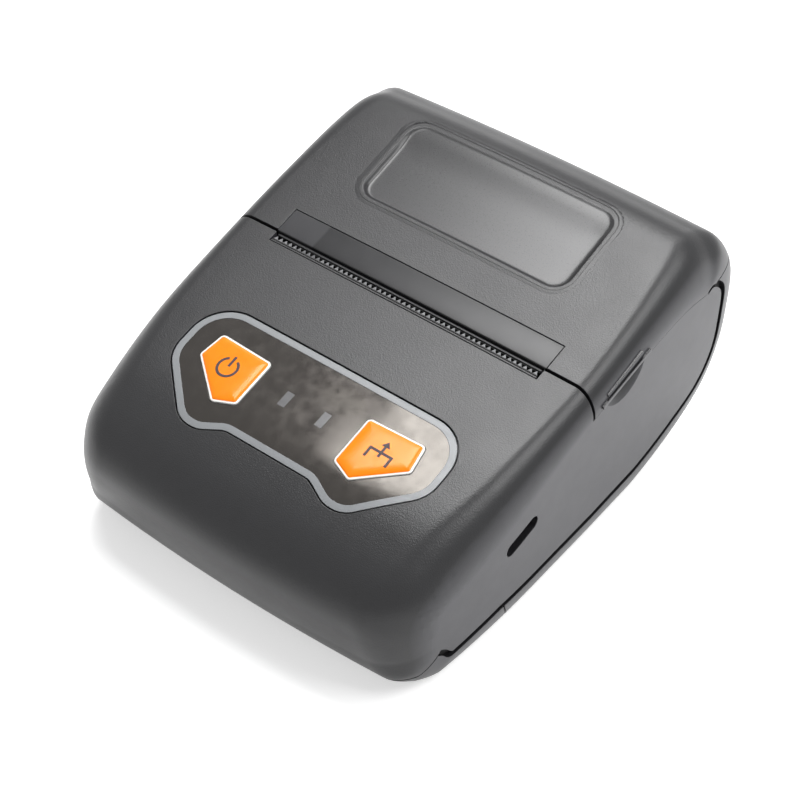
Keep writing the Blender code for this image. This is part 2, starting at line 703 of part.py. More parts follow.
def cheek_tongue(side):
    """Thin tongue on a cheek's edge that closes the shadow groove from behind."""
    inner = INNER_HALF - GAP
    outer = HALF - WALL / 2 - GAP / 2
    band = plate("tongue", [shifted(CHEEK_LINE, SIDE_GROOVE / 2 + TONGUE),
                            shifted(CHEEK_LINE, -SIDE_GROOVE / 2 - TONGUE)],
                 *sorted((side * inner, side * outer)))
    end = cut(block("tongue_end", (-FAR, SEAM_Y - OVERRUN, COVER_LOW - OVERRUN), (FAR, FAR, FAR)),
              rod("tongue_arc", HINGE, POST_RADIUS - TONGUE, -2 * FAR, 2 * FAR))
    return cut(narrowed(band), end)


def cheek_rebate(side):
    """Room for the tongue in the base."""
    inner = INNER_HALF - TONGUE
    outer = HALF - WALL / 2 + GAP / 2
    return narrowed(plate("rebate", [shifted(CHEEK_LINE, SIDE_GROOVE / 2 + TONGUE + GAP)],
                          *sorted((side * inner, side * outer))))


def upright(name, x, y, radius, low, high):
    """Vertical cylinder."""
    return rod(name, (x, y), radius, low, high, LEVEL, SMALL_SEGMENTS)


def tube(name, centre, radius, bore, low, high, place=LEVEL):
    """Cylinder with a hole along it."""
    return plate(name, [circle(centre, radius), circle(centre, bore)[::-1]], low, high, place)


def key_corners(side):
    """Corner rows of a key, anticlockwise."""
    corners = [(KEY_INNER, KEY_INNER_FRONT), (KEY_TIP, KEY_TIP_FRONT), (KEY_SIDE, KEY_SIDE_FRONT),
               (KEY_OUTER, KEY_BACK_OUTER), (KEY_INNER, KEY_BACK)]
    if side < 0:
        corners = [(-x, y) for x, y in reversed(corners)]
    return [(x, y, KEY_CORNER) for x, y in corners]


def panel_corners():
    """Corner rows of the key panel, anticlockwise."""
    right = [(PANEL_NOTCH_HALF, PANEL_NOTCH_FRONT, PANEL_NOTCH_CORNER),
             (PANEL_LOBE_HALF, PANEL_LOBE_FRONT, PANEL_LOBE_CORNER),
             (PANEL_HALF, PANEL_SIDE_FRONT, PANEL_SIDE_CORNER),
             (PANEL_HALF, PANEL_BACK, PANEL_BACK_CORNER)]
    return right + [(-x, y, r) for x, y, r in reversed(right)]


def led_outline(side, margin):
    """Lamp window outline."""
    x = side * LED_X
    low, high = LED_FRONT - margin, LED_FRONT + LED_LENGTH + margin
    half = LED_HALF + margin
    return [(x - half, low), (x + half, low), (x + half, high), (x - half, high)]


SHELL = cut(case_block("case_outer", 0, OUTER_EDGE_STEPS), case_block("case_inner", WALL, INNER_EDGE_STEPS))


def build_upper_housing():
    """Top front, nose and both cheeks in one shell, with the slot, the panel bed and bosses."""
    housing = twin(SHELL, "housing")
    cut(housing, tray_space("base_cut", 0, -SIDE_GROOVE / 2), cover_space("cover_cut", -SEAM / 2, 0))
    join(housing, cheek_tongue(1), cheek_tongue(-1))
    for x, along in on_both_sides(((BOSS_X, BOSS_BACK), (BOSS_X, BOSS_FRONT))):
        join(housing, tube("boss", (x, along), BOSS_RADIUS, SCREW_RADIUS + GAP, GAP - BOARD_DEPTH,
                           -WALL * 3 / 4, PANEL_PLACE))
    for x, y in on_both_sides(((POST_X, POST_FRONT_Y), (POST_X, POST_BACK_Y))):
        post = tube("post", (x, y), BOSS_RADIUS, SCREW_RADIUS + GAP, FLOOR_Z + SEAT_HEIGHT + GAP, POST_TOP)
        low, high = sorted((x, math.copysign(INNER_HALF + WALL / 2, x)))
        web = block("web", (low, y - WALL / 2, FLOOR_Z + 3 * WALL), (high, y + WALL / 2, POST_TOP - WALL / 2))
        join(housing, web, post)
        cut(housing, upright("post_hole", x, y, SCREW_RADIUS + GAP, 0, POST_TOP + WALL))
    for side in (-1, 1):
        low, high = sorted((side * (INNER_HALF - BAY_LEDGE), side * (INNER_HALF + WALL / 2)))
        ledge = block("bay_ledge", (low, BATTERY_MID_Y - OVERRUN, BAY_CEILING - GAP - 2 * BAY_WALL),
                      (high, BATTERY_MID_Y + 2 * OVERRUN, BAY_CEILING - GAP - BAY_WALL))
        join(housing, narrowed(ledge))

    bed = plate("panel_bed", [rounded(grown(panel_corners(), GAP))], -PANEL_THICKNESS - GAP, OVERRUN,
                PANEL_PLACE)
    slot = block("slot", (-SLOT_HALF, -SLOT_WIDTH, -OVERRUN), (SLOT_HALF, SLOT_WIDTH, OVERRUN), SLOT_PLACE)
    bar_bed = block("bar_bed", (-TEAR_BAR_HALF - GAP, -SLOT_WIDTH - TEAR_BAR_DEPTH - GAP, -OVERRUN),
                    (TEAR_BAR_HALF + GAP, 0, GAP - TEAR_BAR_SINK), SLOT_PLACE)
    cut(housing, bed, slot, bar_bed)
    for side in (-1, 1):
        cut(housing, plate("key_hole", [rounded(grown(key_corners(side), GAP))], -OVERRUN, OVERRUN, PANEL_PLACE),
            plate("lamp_hole", [led_outline(side, GAP)], -OVERRUN, OVERRUN, PANEL_PLACE))
        centre = (side * (HALF + SCOOP_RADIUS - SCOOP_SINK), SCOOP_Y, SCOOP_Z)
        cut(housing, ball("scoop", centre, SCOOP_RADIUS))
    mouth = plate("usb_hole", [rounded(usb_corners(GAP / 2))], INNER_HALF - WALL, HALF + WALL, USB_PLACE)
    cut(housing, mouth)
    return finish(housing, "upper_housing", "matte_black")


def build_cover():
    """Paper cover: curved lid with the window bed, platen arms and half of the hinge."""
    cover = keep(twin(SHELL, "cover"), cover_space("cover_keep", SEAM / 2, SEAM))
    bed = block("window_bed", (-ARM_HALF - ARM_THICKNESS, SEAM, -WINDOW_THICKNESS - GAP - WINDOW_BED),
                (ARM_HALF + ARM_THICKNESS, WINDOW_DEPTH + WALL, -WALL / 2), SLOT_PLACE)
    join(cover, bed)
    for side in (-1, 1):
        low, high = sorted((side * ARM_HALF, side * (ARM_HALF + ARM_THICKNESS)))
        reach = BUSH_RADIUS + GAP + ARM_RIM
        y, z = PLATEN
        top = top_at(y) - WALL / 2
        arm = plate("arm", [[(y - reach, z), (y - reach + SEAM, top - ARM_RIM), (y + 2 * reach, top),
                             *circle_part(PLATEN, reach, 20, -180)]], low, high)
        join(cover, arm)
        low, high = sorted((side * KNUCKLE_INNER, side * (REAR_PANEL_HALF - SEAM)))
        knuckle = rod("knuckle", HINGE, BARREL_RADIUS, low, high)
        web = block("knuckle_web", (low, HINGE[0], HINGE_HEIGHT), (high, back_at(HINGE_HEIGHT + WALL) - WALL / 2,
                                                                 HINGE_HEIGHT + OVERRUN))
        join(cover, knuckle, web)
    half_ring = rod("barrel", HINGE, BARREL_RADIUS, SEAM - REAR_PANEL_HALF, REAR_PANEL_HALF - SEAM)
    cut(half_ring, rod("barrel_bore", HINGE, BARREL_RADIUS - BARREL_WALL, -FAR, FAR),
        block("barrel_front", (-FAR, 0, 0), (FAR, HINGE[0] + TONGUE, FAR)))
    join(cover, half_ring)
    for start, end in GRIP_SHARES:
        for side in (-1, 1):
            ends = [(side * (HALF - GRIP_SINK), a * BODY_LENGTH, b * BODY_HEIGHT) for a, b in (start, end)]
            join(cover, rod_between("grip", *ends, GRIP_RADIUS))
    window = block("window_cut", (-WINDOW_HALF - GAP, -OVERRUN, -WINDOW_THICKNESS - GAP),
                   (WINDOW_HALF + GAP, WINDOW_DEPTH + GAP, OVERRUN), SLOT_PLACE)
    corners = [(RECESS_HALF, -RECESS_LENGTH / 2, RECESS_CORNER), (RECESS_HALF, RECESS_LENGTH / 2, RECESS_CORNER),
               (-RECESS_HALF, RECESS_LENGTH / 2, RECESS_CORNER), (-RECESS_HALF, -RECESS_LENGTH / 2, RECESS_CORNER)]
    recess = plate("recess", [rounded(corners, 6)], -RECESS_DEPTH, OVERRUN, RECESS_PLACE)
    cut(cover, window, recess, rod("bush_hole", PLATEN, BUSH_RADIUS + GAP, -GEAR_HALF, GEAR_HALF),
        rod("pin_hole", HINGE, PIN_RADIUS + GAP, -FAR, FAR, segments=SMALL_SEGMENTS))
    return finish(cover, "paper_cover", "matte_black", (0, *HINGE))


def circle_part(centre, radius, start, end, steps=8):
    """Points of an arc between two angles in degrees."""
    return [step_from(centre, radius, (start + (end - start) * k / steps) * DEG) for k in range(steps + 1)]


def build_base():
    """Bottom tray with its back wall and corner posts, and the battery door in front of it."""
    base = keep(twin(SHELL, "base"), tray_space("base_keep", SEAM, SIDE_GROOVE / 2))
    cut(base, cheek_rebate(1), cheek_rebate(-1), cover_space("cover_room", -SEAM / 2, 0),
        rod("barrel_room", HINGE, BARREL_RADIUS + RUNNING_GAP, -REAR_PANEL_HALF, REAR_PANEL_HALF))
    door = keep(twin(base, "door"), door_space("door_keep", SEAM))
    tray = cut(base, door_space("door_cut", 0))

    for side in (-1, 1):
        low, high = sorted((side * REAR_PANEL_HALF, side * (INNER_HALF - 3 * GAP)))
        boss = rod("hinge_boss", HINGE, BARREL_RADIUS, low, high)
        join(tray, keep(boss, case_block("boss_limit", WALL / 4, INNER_EDGE_STEPS)))
        join(tray, block("bin_rib", sorted_point(side * BIN_RIB_HALF, side * (BIN_RIB_HALF + WALL),
                                                 ROLL_Y - 2 * OVERRUN, FOOT_HEIGHT + WALL / 2)[0],
                         sorted_point(side * BIN_RIB_HALF, side * (BIN_RIB_HALF + WALL), ROLL_Y - OVERRUN,
                                      ROLL_Z - BIN_RADIUS - BIN_WALL - GAP)[1]))
    cut(tray, rod("tray_pin_hole", HINGE, PIN_RADIUS + GAP, -INNER_HALF, INNER_HALF, segments=SMALL_SEGMENTS))
    for x, y in on_both_sides(((POST_X, POST_FRONT_Y), (POST_X, POST_BACK_Y))):
        join(tray, upright("seat", x, y, BOSS_RADIUS, FOOT_HEIGHT + WALL / 2, FLOOR_Z + SEAT_HEIGHT))
        cut(tray, upright("seat_hole", x, y, SCREW_RADIUS + GAP, -OVERRUN, FLOOR_Z + 2 * SEAT_HEIGHT),
            upright("seat_head", x, y, SCREW_HEAD_RADIUS + GAP, -OVERRUN, FOOT_HEIGHT + SCREW_HEAD + 2 * GAP))
    for x, y in on_both_sides(((FOOT_X, FOOT_BACK_Y),)):
        cut(tray, rod("foot_bed", (x, y), FOOT_RADIUS + GAP, -OVERRUN, FOOT_HEIGHT + FOOT_SINK + GAP, LEVEL))
    finish(tray, "bottom_tray", "matte_black")

    for x, y in on_both_sides(((FOOT_X, FOOT_FRONT_Y),)):
        cut(door, rod("door_foot_bed", (x, y), FOOT_RADIUS + GAP, -OVERRUN, FOOT_HEIGHT + FOOT_SINK + GAP, LEVEL))
    latch = block("door_latch", (-DOOR_TONGUE_WIDTH / 2, DOOR_BACK_Y - OVERRUN, FLOOR_Z - WALL / 2),
                  (DOOR_TONGUE_WIDTH / 2, DOOR_BACK_Y - WALL, FLOOR_Z + GAP + WALL / 2))
    hook = block("door_hook", (-DOOR_TONGUE_WIDTH / 2, DOOR_BACK_Y - OVERRUN, FLOOR_Z + GAP),
                 (DOOR_TONGUE_WIDTH / 2, DOOR_BACK_Y + DOOR_TONGUE, FLOOR_Z + GAP + WALL / 2))
    join(door, latch, hook)
    finish(door, "battery_door", "matte_black", DOOR_AXIS)


def sorted_point(x_one, x_two, y, z):
    """Low and high corner with the two x values in order."""
    low, high = sorted((x_one, x_two))
    return (low, y, z), (high, y, z)


# Battery

BAY_CEILING = BATTERY_BASE + BATTERY_HEIGHT + BAY_PLAY + BAY_WALL


def build_battery():
    """Battery pack, its bay and the contacts between them."""
    half_w, half_h = BATTERY_WIDTH / 2, BATTERY_HEIGHT / 2
    mid_z = BATTERY_BASE + half_h
    corners = [(BATTERY_MID_Y - half_w, mid_z - half_h), (BATTERY_MID_Y + half_w, mid_z - half_h),
               (BATTERY_MID_Y + half_w, mid_z + half_h), (BATTERY_MID_Y - half_w, mid_z + half_h)]
    cell = plate("cell", [rounded([(y, z, BATTERY_CORNER) for y, z in corners])], -BATTERY_LENGTH / 2,
                 BATTERY_LENGTH / 2)
    finish(cell, "battery_pack", "battery_blue")

    room = BATTERY_LENGTH / 2 + BAY_PLAY
    front, back = BATTERY_MID_Y - half_w - BAY_PLAY, BATTERY_MID_Y + half_w + BAY_PLAY
    bay = block("bay", (-room - BAY_WALL, front - BAY_WALL, BAY_LIP_Z), (room + BAY_WALL, back + BAY_WALL, BAY_CEILING))
    wing = block("bay_wing", (GAP - INNER_HALF, BATTERY_MID_Y - OVERRUN, BAY_CEILING - BAY_WALL),
                 (INNER_HALF - GAP, BATTERY_MID_Y + 2 * OVERRUN, BAY_CEILING))
    join(bay, narrowed(wing))
    cut(bay, block("bay_room", (-room, front, 0), (room, back, BAY_CEILING - BAY_WALL)))
    reach = CONTACT_PITCH + 2 * CONTACT_HALF
    connector = block("connector", (-reach, back + BAY_WALL + GAP, mid_z - 2 * CONTACT_HALF),
                      (reach, back + BAY_WALL + CONTACT_TAIL, mid_z + 2 * CONTACT_HALF))
    for k in (-1, 0, 1):
        x = k * CONTACT_PITCH
        low = (x - CONTACT_HALF, back - BAY_PLAY + GAP, mid_z - CONTACT_HALF)
        high = (x + CONTACT_HALF, back + BAY_WALL + TONGUE, mid_z + CONTACT_HALF)
        join(connector, block("contact", low, high))
        cut(bay, block("contact_hole", [v - GAP for v in low], [v + GAP for v in high]))
    finish(bay, "battery_bay", "matte_black")
    finish(connector, "battery_connector", "brass")


# Keys, panel and board

USB_PLACE = (PANEL_PLACE @ Matrix.Translation((0, USB_ALONG, -BOARD_DEPTH - BOARD_THICKNESS - GAP
                                               - USB_MOUTH_HEIGHT / 2 - USB_WALL)) @ TO_SIDE)


def usb_corners(margin):
    """Corner rows of the USB mouth, in the socket's own frame."""
    half_w, half_h = USB_MOUTH_WIDTH / 2 + margin, USB_MOUTH_HEIGHT / 2 + margin
    radius = half_h - GAP / 10
    return [(half_w, -half_h, radius), (half_w, half_h, radius), (-half_w, half_h, radius), (-half_w, -half_h, radius)]


def build_panel():
    """Glossy key panel with its two keys and lamp windows."""
    holes = [rounded(grown(key_corners(side), GAP))[::-1] for side in (-1, 1)]
    lamps = [led_outline(side, GAP)[::-1] for side in (-1, 1)]
    panel = plate("panel", [rounded(panel_corners()), *holes, *lamps], -PANEL_THICKNESS, 0, PANEL_PLACE)
    finish(panel, "key_panel", "gloss_black")
    for side, name in ((-1, "power_key"), (1, "feed_key")):
        corners = key_corners(side)
        low = -WALL - GAP - KEY_TRAVEL - KEY_FLANGE_THICKNESS
        key = plate("key", [rounded(corners)], low, KEY_RISE, PANEL_PLACE)
        dome = bmesh.new()
        dome.from_mesh(key.data)
        top = [v for v in dome.verts if (PANEL_PLACE.inverted() @ v.co).z > 0]
        rim = [e for e in dome.edges if all(v in top for v in e.verts) and len(e.link_faces) == 2
               and any(abs(f.normal.dot(KEY_AXIS)) < 0.5 for f in e.link_faces)
               and any(abs(f.normal.dot(KEY_AXIS)) > 0.5 for f in e.link_faces)]
        bmesh.ops.bevel(dome, geom=rim, offset=KEY_DOME, segments=2, profile=0.5, affect="EDGES")
        dome.to_mesh(key.data)
        dome.free()
        flange = plate("flange", [rounded(grown(corners, KEY_FLANGE))], low, low + KEY_FLANGE_THICKNESS, PANEL_PLACE)
        stem_end = -BOARD_DEPTH + GAP + SWITCH_HEIGHT + PLUNGER_HEIGHT + KEY_TRAVEL + GAP
        stem = rod("stem", (side * KEY_MID, KEY_MID_ALONG), KEY_STEM_RADIUS, stem_end, low + KEY_FLANGE_THICKNESS / 2,
                   PANEL_PLACE, SMALL_SEGMENTS)
        join(key, flange, stem)
        finish(key, name, "orange", PANEL_PLACE @ Vector((side * KEY_MID, KEY_MID_ALONG, 0)))
    lenses = [plate("lens", [led_outline(side, 0)], LED_HEIGHT + 2 * GAP - BOARD_DEPTH, -GAP / 10, PANEL_PLACE)
              for side in (-1, 1)]
    finish_set(lenses, "lamp_window", "lens_grey")


def build_board():
    """Main board, what is soldered to it, and the screws that hold it."""
    corners = [(BOARD_HALF, BOARD_FRONT), (BOARD_HALF, BOARD_BACK), (-BOARD_HALF, BOARD_BACK), (-BOARD_HALF, BOARD_FRONT)]
    screws = on_both_sides(((BOSS_X, BOSS_BACK), (BOSS_X, BOSS_FRONT)))
    holes = [circle(spot, SCREW_RADIUS + GAP)[::-1] for spot in screws]
    top, under = -BOARD_DEPTH, -BOARD_DEPTH - BOARD_THICKNESS
    board = plate("board", [rounded([(x, y, BOARD_CORNER) for x, y in corners]), *holes], under, top, PANEL_PLACE)
    finish(board, "main_board", "board_green")

    switches, lamps, chips, held = [], [], [], []
    for side in (-1, 1):
        half = SWITCH_SIZE / 2
        x, along = side * KEY_MID, KEY_MID_ALONG
        body = block("switch", (x - half, along - half, top + GAP), (x + half, along + half, top + GAP + SWITCH_HEIGHT),
                     PANEL_PLACE)
        plunger = rod("plunger", (x, along), PLUNGER_RADIUS, top + SWITCH_HEIGHT, top + GAP + SWITCH_HEIGHT
                      + PLUNGER_HEIGHT, PANEL_PLACE, SMALL_SEGMENTS)
        switches.append(join(body, plunger))
        half = LED_SIZE / 2
        along = LED_FRONT + LED_LENGTH / 2
        lamps.append(block("lamp", (side * LED_X - half, along - half, top + GAP),
                           (side * LED_X + half, along + half, top + GAP + LED_HEIGHT), PANEL_PLACE))
    for x_share, y_share, w_share, l_share in CHIP_SHARES:
        x, y = x_share * 2 * BOARD_HALF, y_share * BOARD_BACK
        w, l = w_share * BOARD_HALF, l_share * BOARD_BACK
        chips.append(block("chip", (x - w, y - l, under - GAP - CHIP_HEIGHT), (x + w, y + l, under - GAP), PANEL_PLACE))
    for x, along in screws:
        head = rod("board_screw", (x, along), SCREW_HEAD_RADIUS, under - GAP - SCREW_HEAD, under - GAP, PANEL_PLACE,
                   SMALL_SEGMENTS)
        thread = rod("board_thread", (x, along), SCREW_RADIUS, under - GAP - SCREW_HEAD / 2, under + SCREW_LENGTH,
                     PANEL_PLACE, SMALL_SEGMENTS)
        held.append(join(head, thread))
    finish_set(switches, "key_switch", "chip_black")
    finish_set(lamps, "board_lamp", "white_plastic")
    finish_set(chips, "board_chip", "chip_black")
    finish_set(held, "board_screw", "steel")

    end = INNER_HALF - 2 * GAP
    socket = plate("socket", [rounded(usb_corners(USB_WALL))], end - USB_LENGTH, end, USB_PLACE)
    w, h = USB_TONGUE_WIDTH / 2, USB_TONGUE / 2
    tongue = [(-w, -h), (-w, h), (w, h), (w, -h)]
    cut(socket, plate("socket_room", [rounded(usb_corners(0)), tongue], end - USB_LENGTH + TONGUE, end + OVERRUN,
                      USB_PLACE))
    finish(socket, "usb_socket", "steel")


# Printing mechanism

def gear_outline(centre, teeth, phase):
    """Toothed outline with one tooth at the phase angle."""
    pitch = GEAR_MODULE * teeth / 2
    outline = []
    for k in range(teeth):
        middle = phase + 2 * math.pi * k / teeth
        half = TOOTH_WIDTH / 2 / pitch
        for radius, offset in ((pitch - GEAR_DEDENDUM, -1.55), (pitch, -1.0), (pitch + GEAR_ADDENDUM, -0.55),
                               (pitch + GEAR_ADDENDUM, 0.55), (pitch, 1.0), (pitch - GEAR_DEDENDUM, 1.55)):
            outline.append(step_from(centre, radius, middle + offset * half))
    return outline


def build_gears():
    """Gear train from the motor pinion over the idler to the platen."""
    idler_phase = IDLER_ANGLE + math.pi + math.pi / IDLER_TEETH
    behind = (PINION_ANGLE - idler_phase) % (2 * math.pi / IDLER_TEETH)
    pinion_phase = PINION_ANGLE + math.pi + math.pi / PINION_TEETH + behind * IDLER_TEETH / PINION_TEETH
    near, far = -GEAR_HALF, -GEAR_HALF - GEAR_THICKNESS
    gear = plate("platen_wheel", [gear_outline(PLATEN, PLATEN_TEETH, IDLER_ANGLE),
                                  circle(PLATEN, SHAFT_RADIUS + GAP)[::-1]], far, near)
    finish(gear, "platen_gear", "white_plastic", (0, *PLATEN))
    idler = plate("idler_wheel", [gear_outline(IDLER, IDLER_TEETH, idler_phase),
                                  circle(IDLER, STUD_RADIUS + GAP)[::-1]], far, near)
    finish(idler, "idler_gear", "white_plastic", (0, *IDLER))
    pinion = plate("pinion_wheel", [gear_outline(PINION, PINION_TEETH, pinion_phase)], far, near)
    join(pinion, rod("motor_shaft", PINION, STUD_RADIUS, near - GEAR_THICKNESS / 2, -FRAME_HALF - GAP))
    finish(pinion, "motor_pinion", "brass", (0, *PINION))
    stud = rod("stud", IDLER, STUD_RADIUS, far - TONGUE, -FRAME_HALF)
    join(stud, rod("stud_head", IDLER, STUD_RADIUS + TONGUE, far - TONGUE, far - GAP))
    finish(stud, "idler_stud", "steel")
    start = -FRAME_HALF + GAP
    motor = rod("motor", PINION, MOTOR_RADIUS, start, start + MOTOR_LENGTH)
    finish(motor, "stepper_motor", "steel")


def build_platen():
    """Rubber roller on a steel shaft, and the two bushes that hold it in the cover."""
    roller = plate("roller", [circle(PLATEN, PLATEN_RADIUS, 32), circle(PLATEN, SHAFT_RADIUS + GAP)[::-1]],
                   -PLATEN_HALF, PLATEN_HALF)
    finish(roller, "platen_roller", "rubber", (0, *PLATEN))
    shaft = rod("shaft", PLATEN, SHAFT_RADIUS, -GEAR_HALF - GEAR_THICKNESS - TONGUE / 2, ARM_HALF + ARM_THICKNESS + TONGUE)
    finish(shaft, "platen_shaft", "steel", (0, *PLATEN))
    bushes = []
    for side in (-1, 1):
        low, high = sorted((side * (FRAME_HALF + GAP), side * (ARM_HALF + ARM_THICKNESS)))
        bushes.append(plate("bush", [circle(PLATEN, BUSH_RADIUS), circle(PLATEN, SHAFT_RADIUS + GAP)[::-1]], low, high))
    finish_set(bushes, "platen_bush", "white_plastic")


def build_head():
    """Thermal head on its heat sink, rocking on a rod, pressed back by springs."""
    face = PLATEN[0] - PLATEN_RADIUS - GAP
    z = PLATEN[1]
    strip = block("strip", (-HEAD_HALF + GAP, face - HEAD_STRIP, z - HEAD_STRIP_HEIGHT / 2),
                  (HEAD_HALF - GAP, face, z + HEAD_STRIP_HEIGHT / 2))
    back = face - HEAD_STRIP - GAP
    axis = (back - HEAD_SINK / 2, z - HEAD_ROD_DROP)
    finish(strip, "heater_strip", "ceramic", (0, *axis))
    sink = block("sink", (-HEAD_HALF, back - HEAD_SINK, z + HEAD_STRIP_HEIGHT / 2 + GAP - HEAD_HEIGHT),
                 (HEAD_HALF, back, z + HEAD_STRIP_HEIGHT / 2 + GAP))
    eye = rod("eye", axis, HEAD_ROD_RADIUS + GAP + TONGUE, -HEAD_HALF, HEAD_HALF)
    join(sink, eye)
    cut(sink, rod("eye_hole", axis, HEAD_ROD_RADIUS + GAP, -FAR, FAR, segments=SMALL_SEGMENTS))
    finish(sink, "heat_sink", "aluminium", (0, *axis))
    rod_end = FRAME_HALF + SIDE_PLATE
    finish(rod("head_rod", axis, HEAD_ROD_RADIUS, -rod_end, rod_end, segments=SMALL_SEGMENTS), "head_rod", "steel")

    springs = []
    for side in (-1, 1):
        seat = Matrix.Translation((side * SPRING_X, back - HEAD_SINK - GAP - SPRING_LENGTH, z + HEAD_STRIP_HEIGHT / 8))
        springs.append(coil("spring", seat @ Matrix.Rotation(-math.pi / 2, 4, "X")))
    finish_set(springs, "head_spring", "steel")
    return axis, back - HEAD_SINK - GAP - SPRING_LENGTH - GAP


def coil(name, place):
    """Wire spring along the third axis, a circle turned and lifted with a Screw."""
    bm = bmesh.new()
    ring = bmesh.ops.create_circle(bm, segments=6, radius=SPRING_WIRE)["verts"]
    bmesh.ops.rotate(bm, verts=ring, cent=(0, 0, 0), matrix=Matrix.Rotation(math.pi / 2, 3, "X"))
    bmesh.ops.translate(bm, verts=ring, vec=(SPRING_RADIUS - SPRING_WIRE, 0, SPRING_WIRE))
    steps = 10 * SPRING_TURNS
    rise = (SPRING_LENGTH - 2 * SPRING_WIRE) / steps
    rings = [ring]
    for k in range(1, steps + 1):
        turn = 2 * math.pi * SPRING_TURNS * k / steps
        row = [bm.verts.new(Matrix.Rotation(turn, 3, "Z") @ v.co + Vector((0, 0, rise * k))) for v in ring]
        rings.append(row)
    for one, two in zip(rings, rings[1:]):
        for i in range(len(one)):
            j = (i + 1) % len(one)
            bm.faces.new((one[i], one[j], two[j], two[i]))
    bm.faces.new(rings[0])
    bm.faces.new(rings[-1])
    bmesh.ops.transform(bm, matrix=place, verts=bm.verts)
    return helper_object(bm, name)


def build_frame(axis, spring_seat):
    """Mechanism frame: two side plates with open bush notches, a spring wall and a floor."""
    y, z = PLATEN
    notch = BUSH_RADIUS + GAP
    lift = math.atan2(PLATEN[1] - HINGE[1], PLATEN[0] - HINGE[0]) - math.pi / 2
    up = Vector(step_from((0, 0), 1, lift))
    across = Vector((up.y, -up.x))
    mouth = [Vector(PLATEN) - across * notch, Vector(PLATEN) - across * (notch + GAP) + up * 3 * notch,
             Vector(PLATEN) + across * (2 * notch) + up * 3 * notch, Vector(PLATEN) + across * notch]
    wall_front = spring_seat - FRAME_WALL
    floor_top = axis[1] - HEAD_ROD_RADIUS - GAP - TONGUE - GAP
    frame = block("spring_wall", (-FRAME_HALF - SIDE_PLATE / 2, wall_front, floor_top - FRAME_FLOOR),
                  (FRAME_HALF + SIDE_PLATE / 2, spring_seat, z + HEAD_STRIP_HEIGHT / 2 - TONGUE))
    join(frame, block("frame_floor", (-FRAME_HALF - SIDE_PLATE / 2, wall_front, floor_top - FRAME_FLOOR),
                      (FRAME_HALF + SIDE_PLATE / 2, axis[0] + WALL, floor_top)))
    rim_top = z + notch / 2
    for side in (-1, 1):
        low, high = sorted((side * FRAME_HALF, side * (FRAME_HALF + SIDE_PLATE)))
        outline = [(wall_front, rim_top), (wall_front, floor_top - FRAME_FLOOR), (PINION[0] - MOTOR_RADIUS,
                   PINION[1] + GAP), (PINION[0] - MOTOR_RADIUS, FLOOR_Z + GAP), (PINION[0] + MOTOR_RADIUS + WALL, FLOOR_Z + GAP),
                   (y - BUSH_RADIUS, IDLER[1]), (y + notch + ARM_RIM, z - notch), (y + notch + ARM_RIM, rim_top)]
        side_plate = plate("side_plate", [outline[::-1]], low, high)
        cut(side_plate, rod("notch", PLATEN, notch, low - WALL, high + WALL),
            plate("notch_mouth", [[tuple(p) for p in mouth]], low - WALL, high + WALL),
            rod("rod_hole", axis, HEAD_ROD_RADIUS + GAP, low - WALL, high + WALL, segments=SMALL_SEGMENTS))
        if side < 0:
            cut(side_plate, rod("shaft_hole", PINION, STUD_RADIUS + GAP, low - WALL, high + WALL, segments=SMALL_SEGMENTS),
                rod("stud_hole", IDLER, STUD_RADIUS + GAP, low - WALL, high + WALL, segments=SMALL_SEGMENTS))
        join(frame, side_plate)
    finish(frame, "mechanism_frame", "matte_black")


def build_paper_path():
    """Tear bar, exit window and paper bin."""
    start, end = -SLOT_WIDTH - TEAR_BAR_DEPTH, -SLOT_WIDTH
    pitch = 2 * TEAR_BAR_HALF / TOOTH_COUNT
    edge = [(-TEAR_BAR_HALF, start), (TEAR_BAR_HALF, start), (TEAR_BAR_HALF, end)]
    for k in range(TOOTH_COUNT):
        right = TEAR_BAR_HALF - k * pitch
        edge += [(right - pitch / 2, end + TOOTH_HEIGHT), (right - pitch, end)]
    bar = plate("bar", [edge], -TEAR_BAR_SINK - TEAR_BAR_THICKNESS, -TEAR_BAR_SINK, SLOT_PLACE)
    finish(bar, "tear_bar", "steel")
    window = block("window", (-WINDOW_HALF, 0, -WINDOW_THICKNESS), (WINDOW_HALF, WINDOW_DEPTH, WINDOW_RISE), SLOT_PLACE)
    finish(window, "exit_window", "smoked")

    roll = (ROLL_Y, ROLL_Z)
    outer = BIN_RADIUS + BIN_WALL
    arc = (circle_part(roll, outer, BIN_FRONT_ANGLE, BIN_BACK_ANGLE, 12)
           + circle_part(roll, BIN_RADIUS, BIN_BACK_ANGLE, BIN_FRONT_ANGLE, 12))
    trough = plate("trough", [arc], -BIN_HALF - BIN_WALL, BIN_HALF + BIN_WALL)
    inside = case_block("bin_limit", WALL + GAP, INNER_EDGE_STEPS)
    roll_front_z = step_from(roll, BIN_RADIUS, BIN_FRONT_ANGLE * DEG)[1]
    for side in (-1, 1):
        low, high = sorted((side * BIN_HALF, side * (BIN_HALF + BIN_WALL)))
        end_wall = rod("bin_end", roll, outer, low, high, segments=2 * ROUND_SEGMENTS)
        keep(end_wall, inside, block("bin_below", (-FAR, 0, 0), (FAR, FAR, BIN_RIM_Z)))
        cut(end_wall, block("bin_front", (-FAR, 0, roll_front_z), (FAR, PLATEN[0] + 2 * PLATEN_RADIUS, FAR)),
            block("bin_back", (-FAR, HINGE[0] - BARREL_RADIUS - RUNNING_GAP, 0), (FAR, FAR, FAR)))
        join(trough, end_wall)
    finish(trough, "paper_bin", "matte_black")


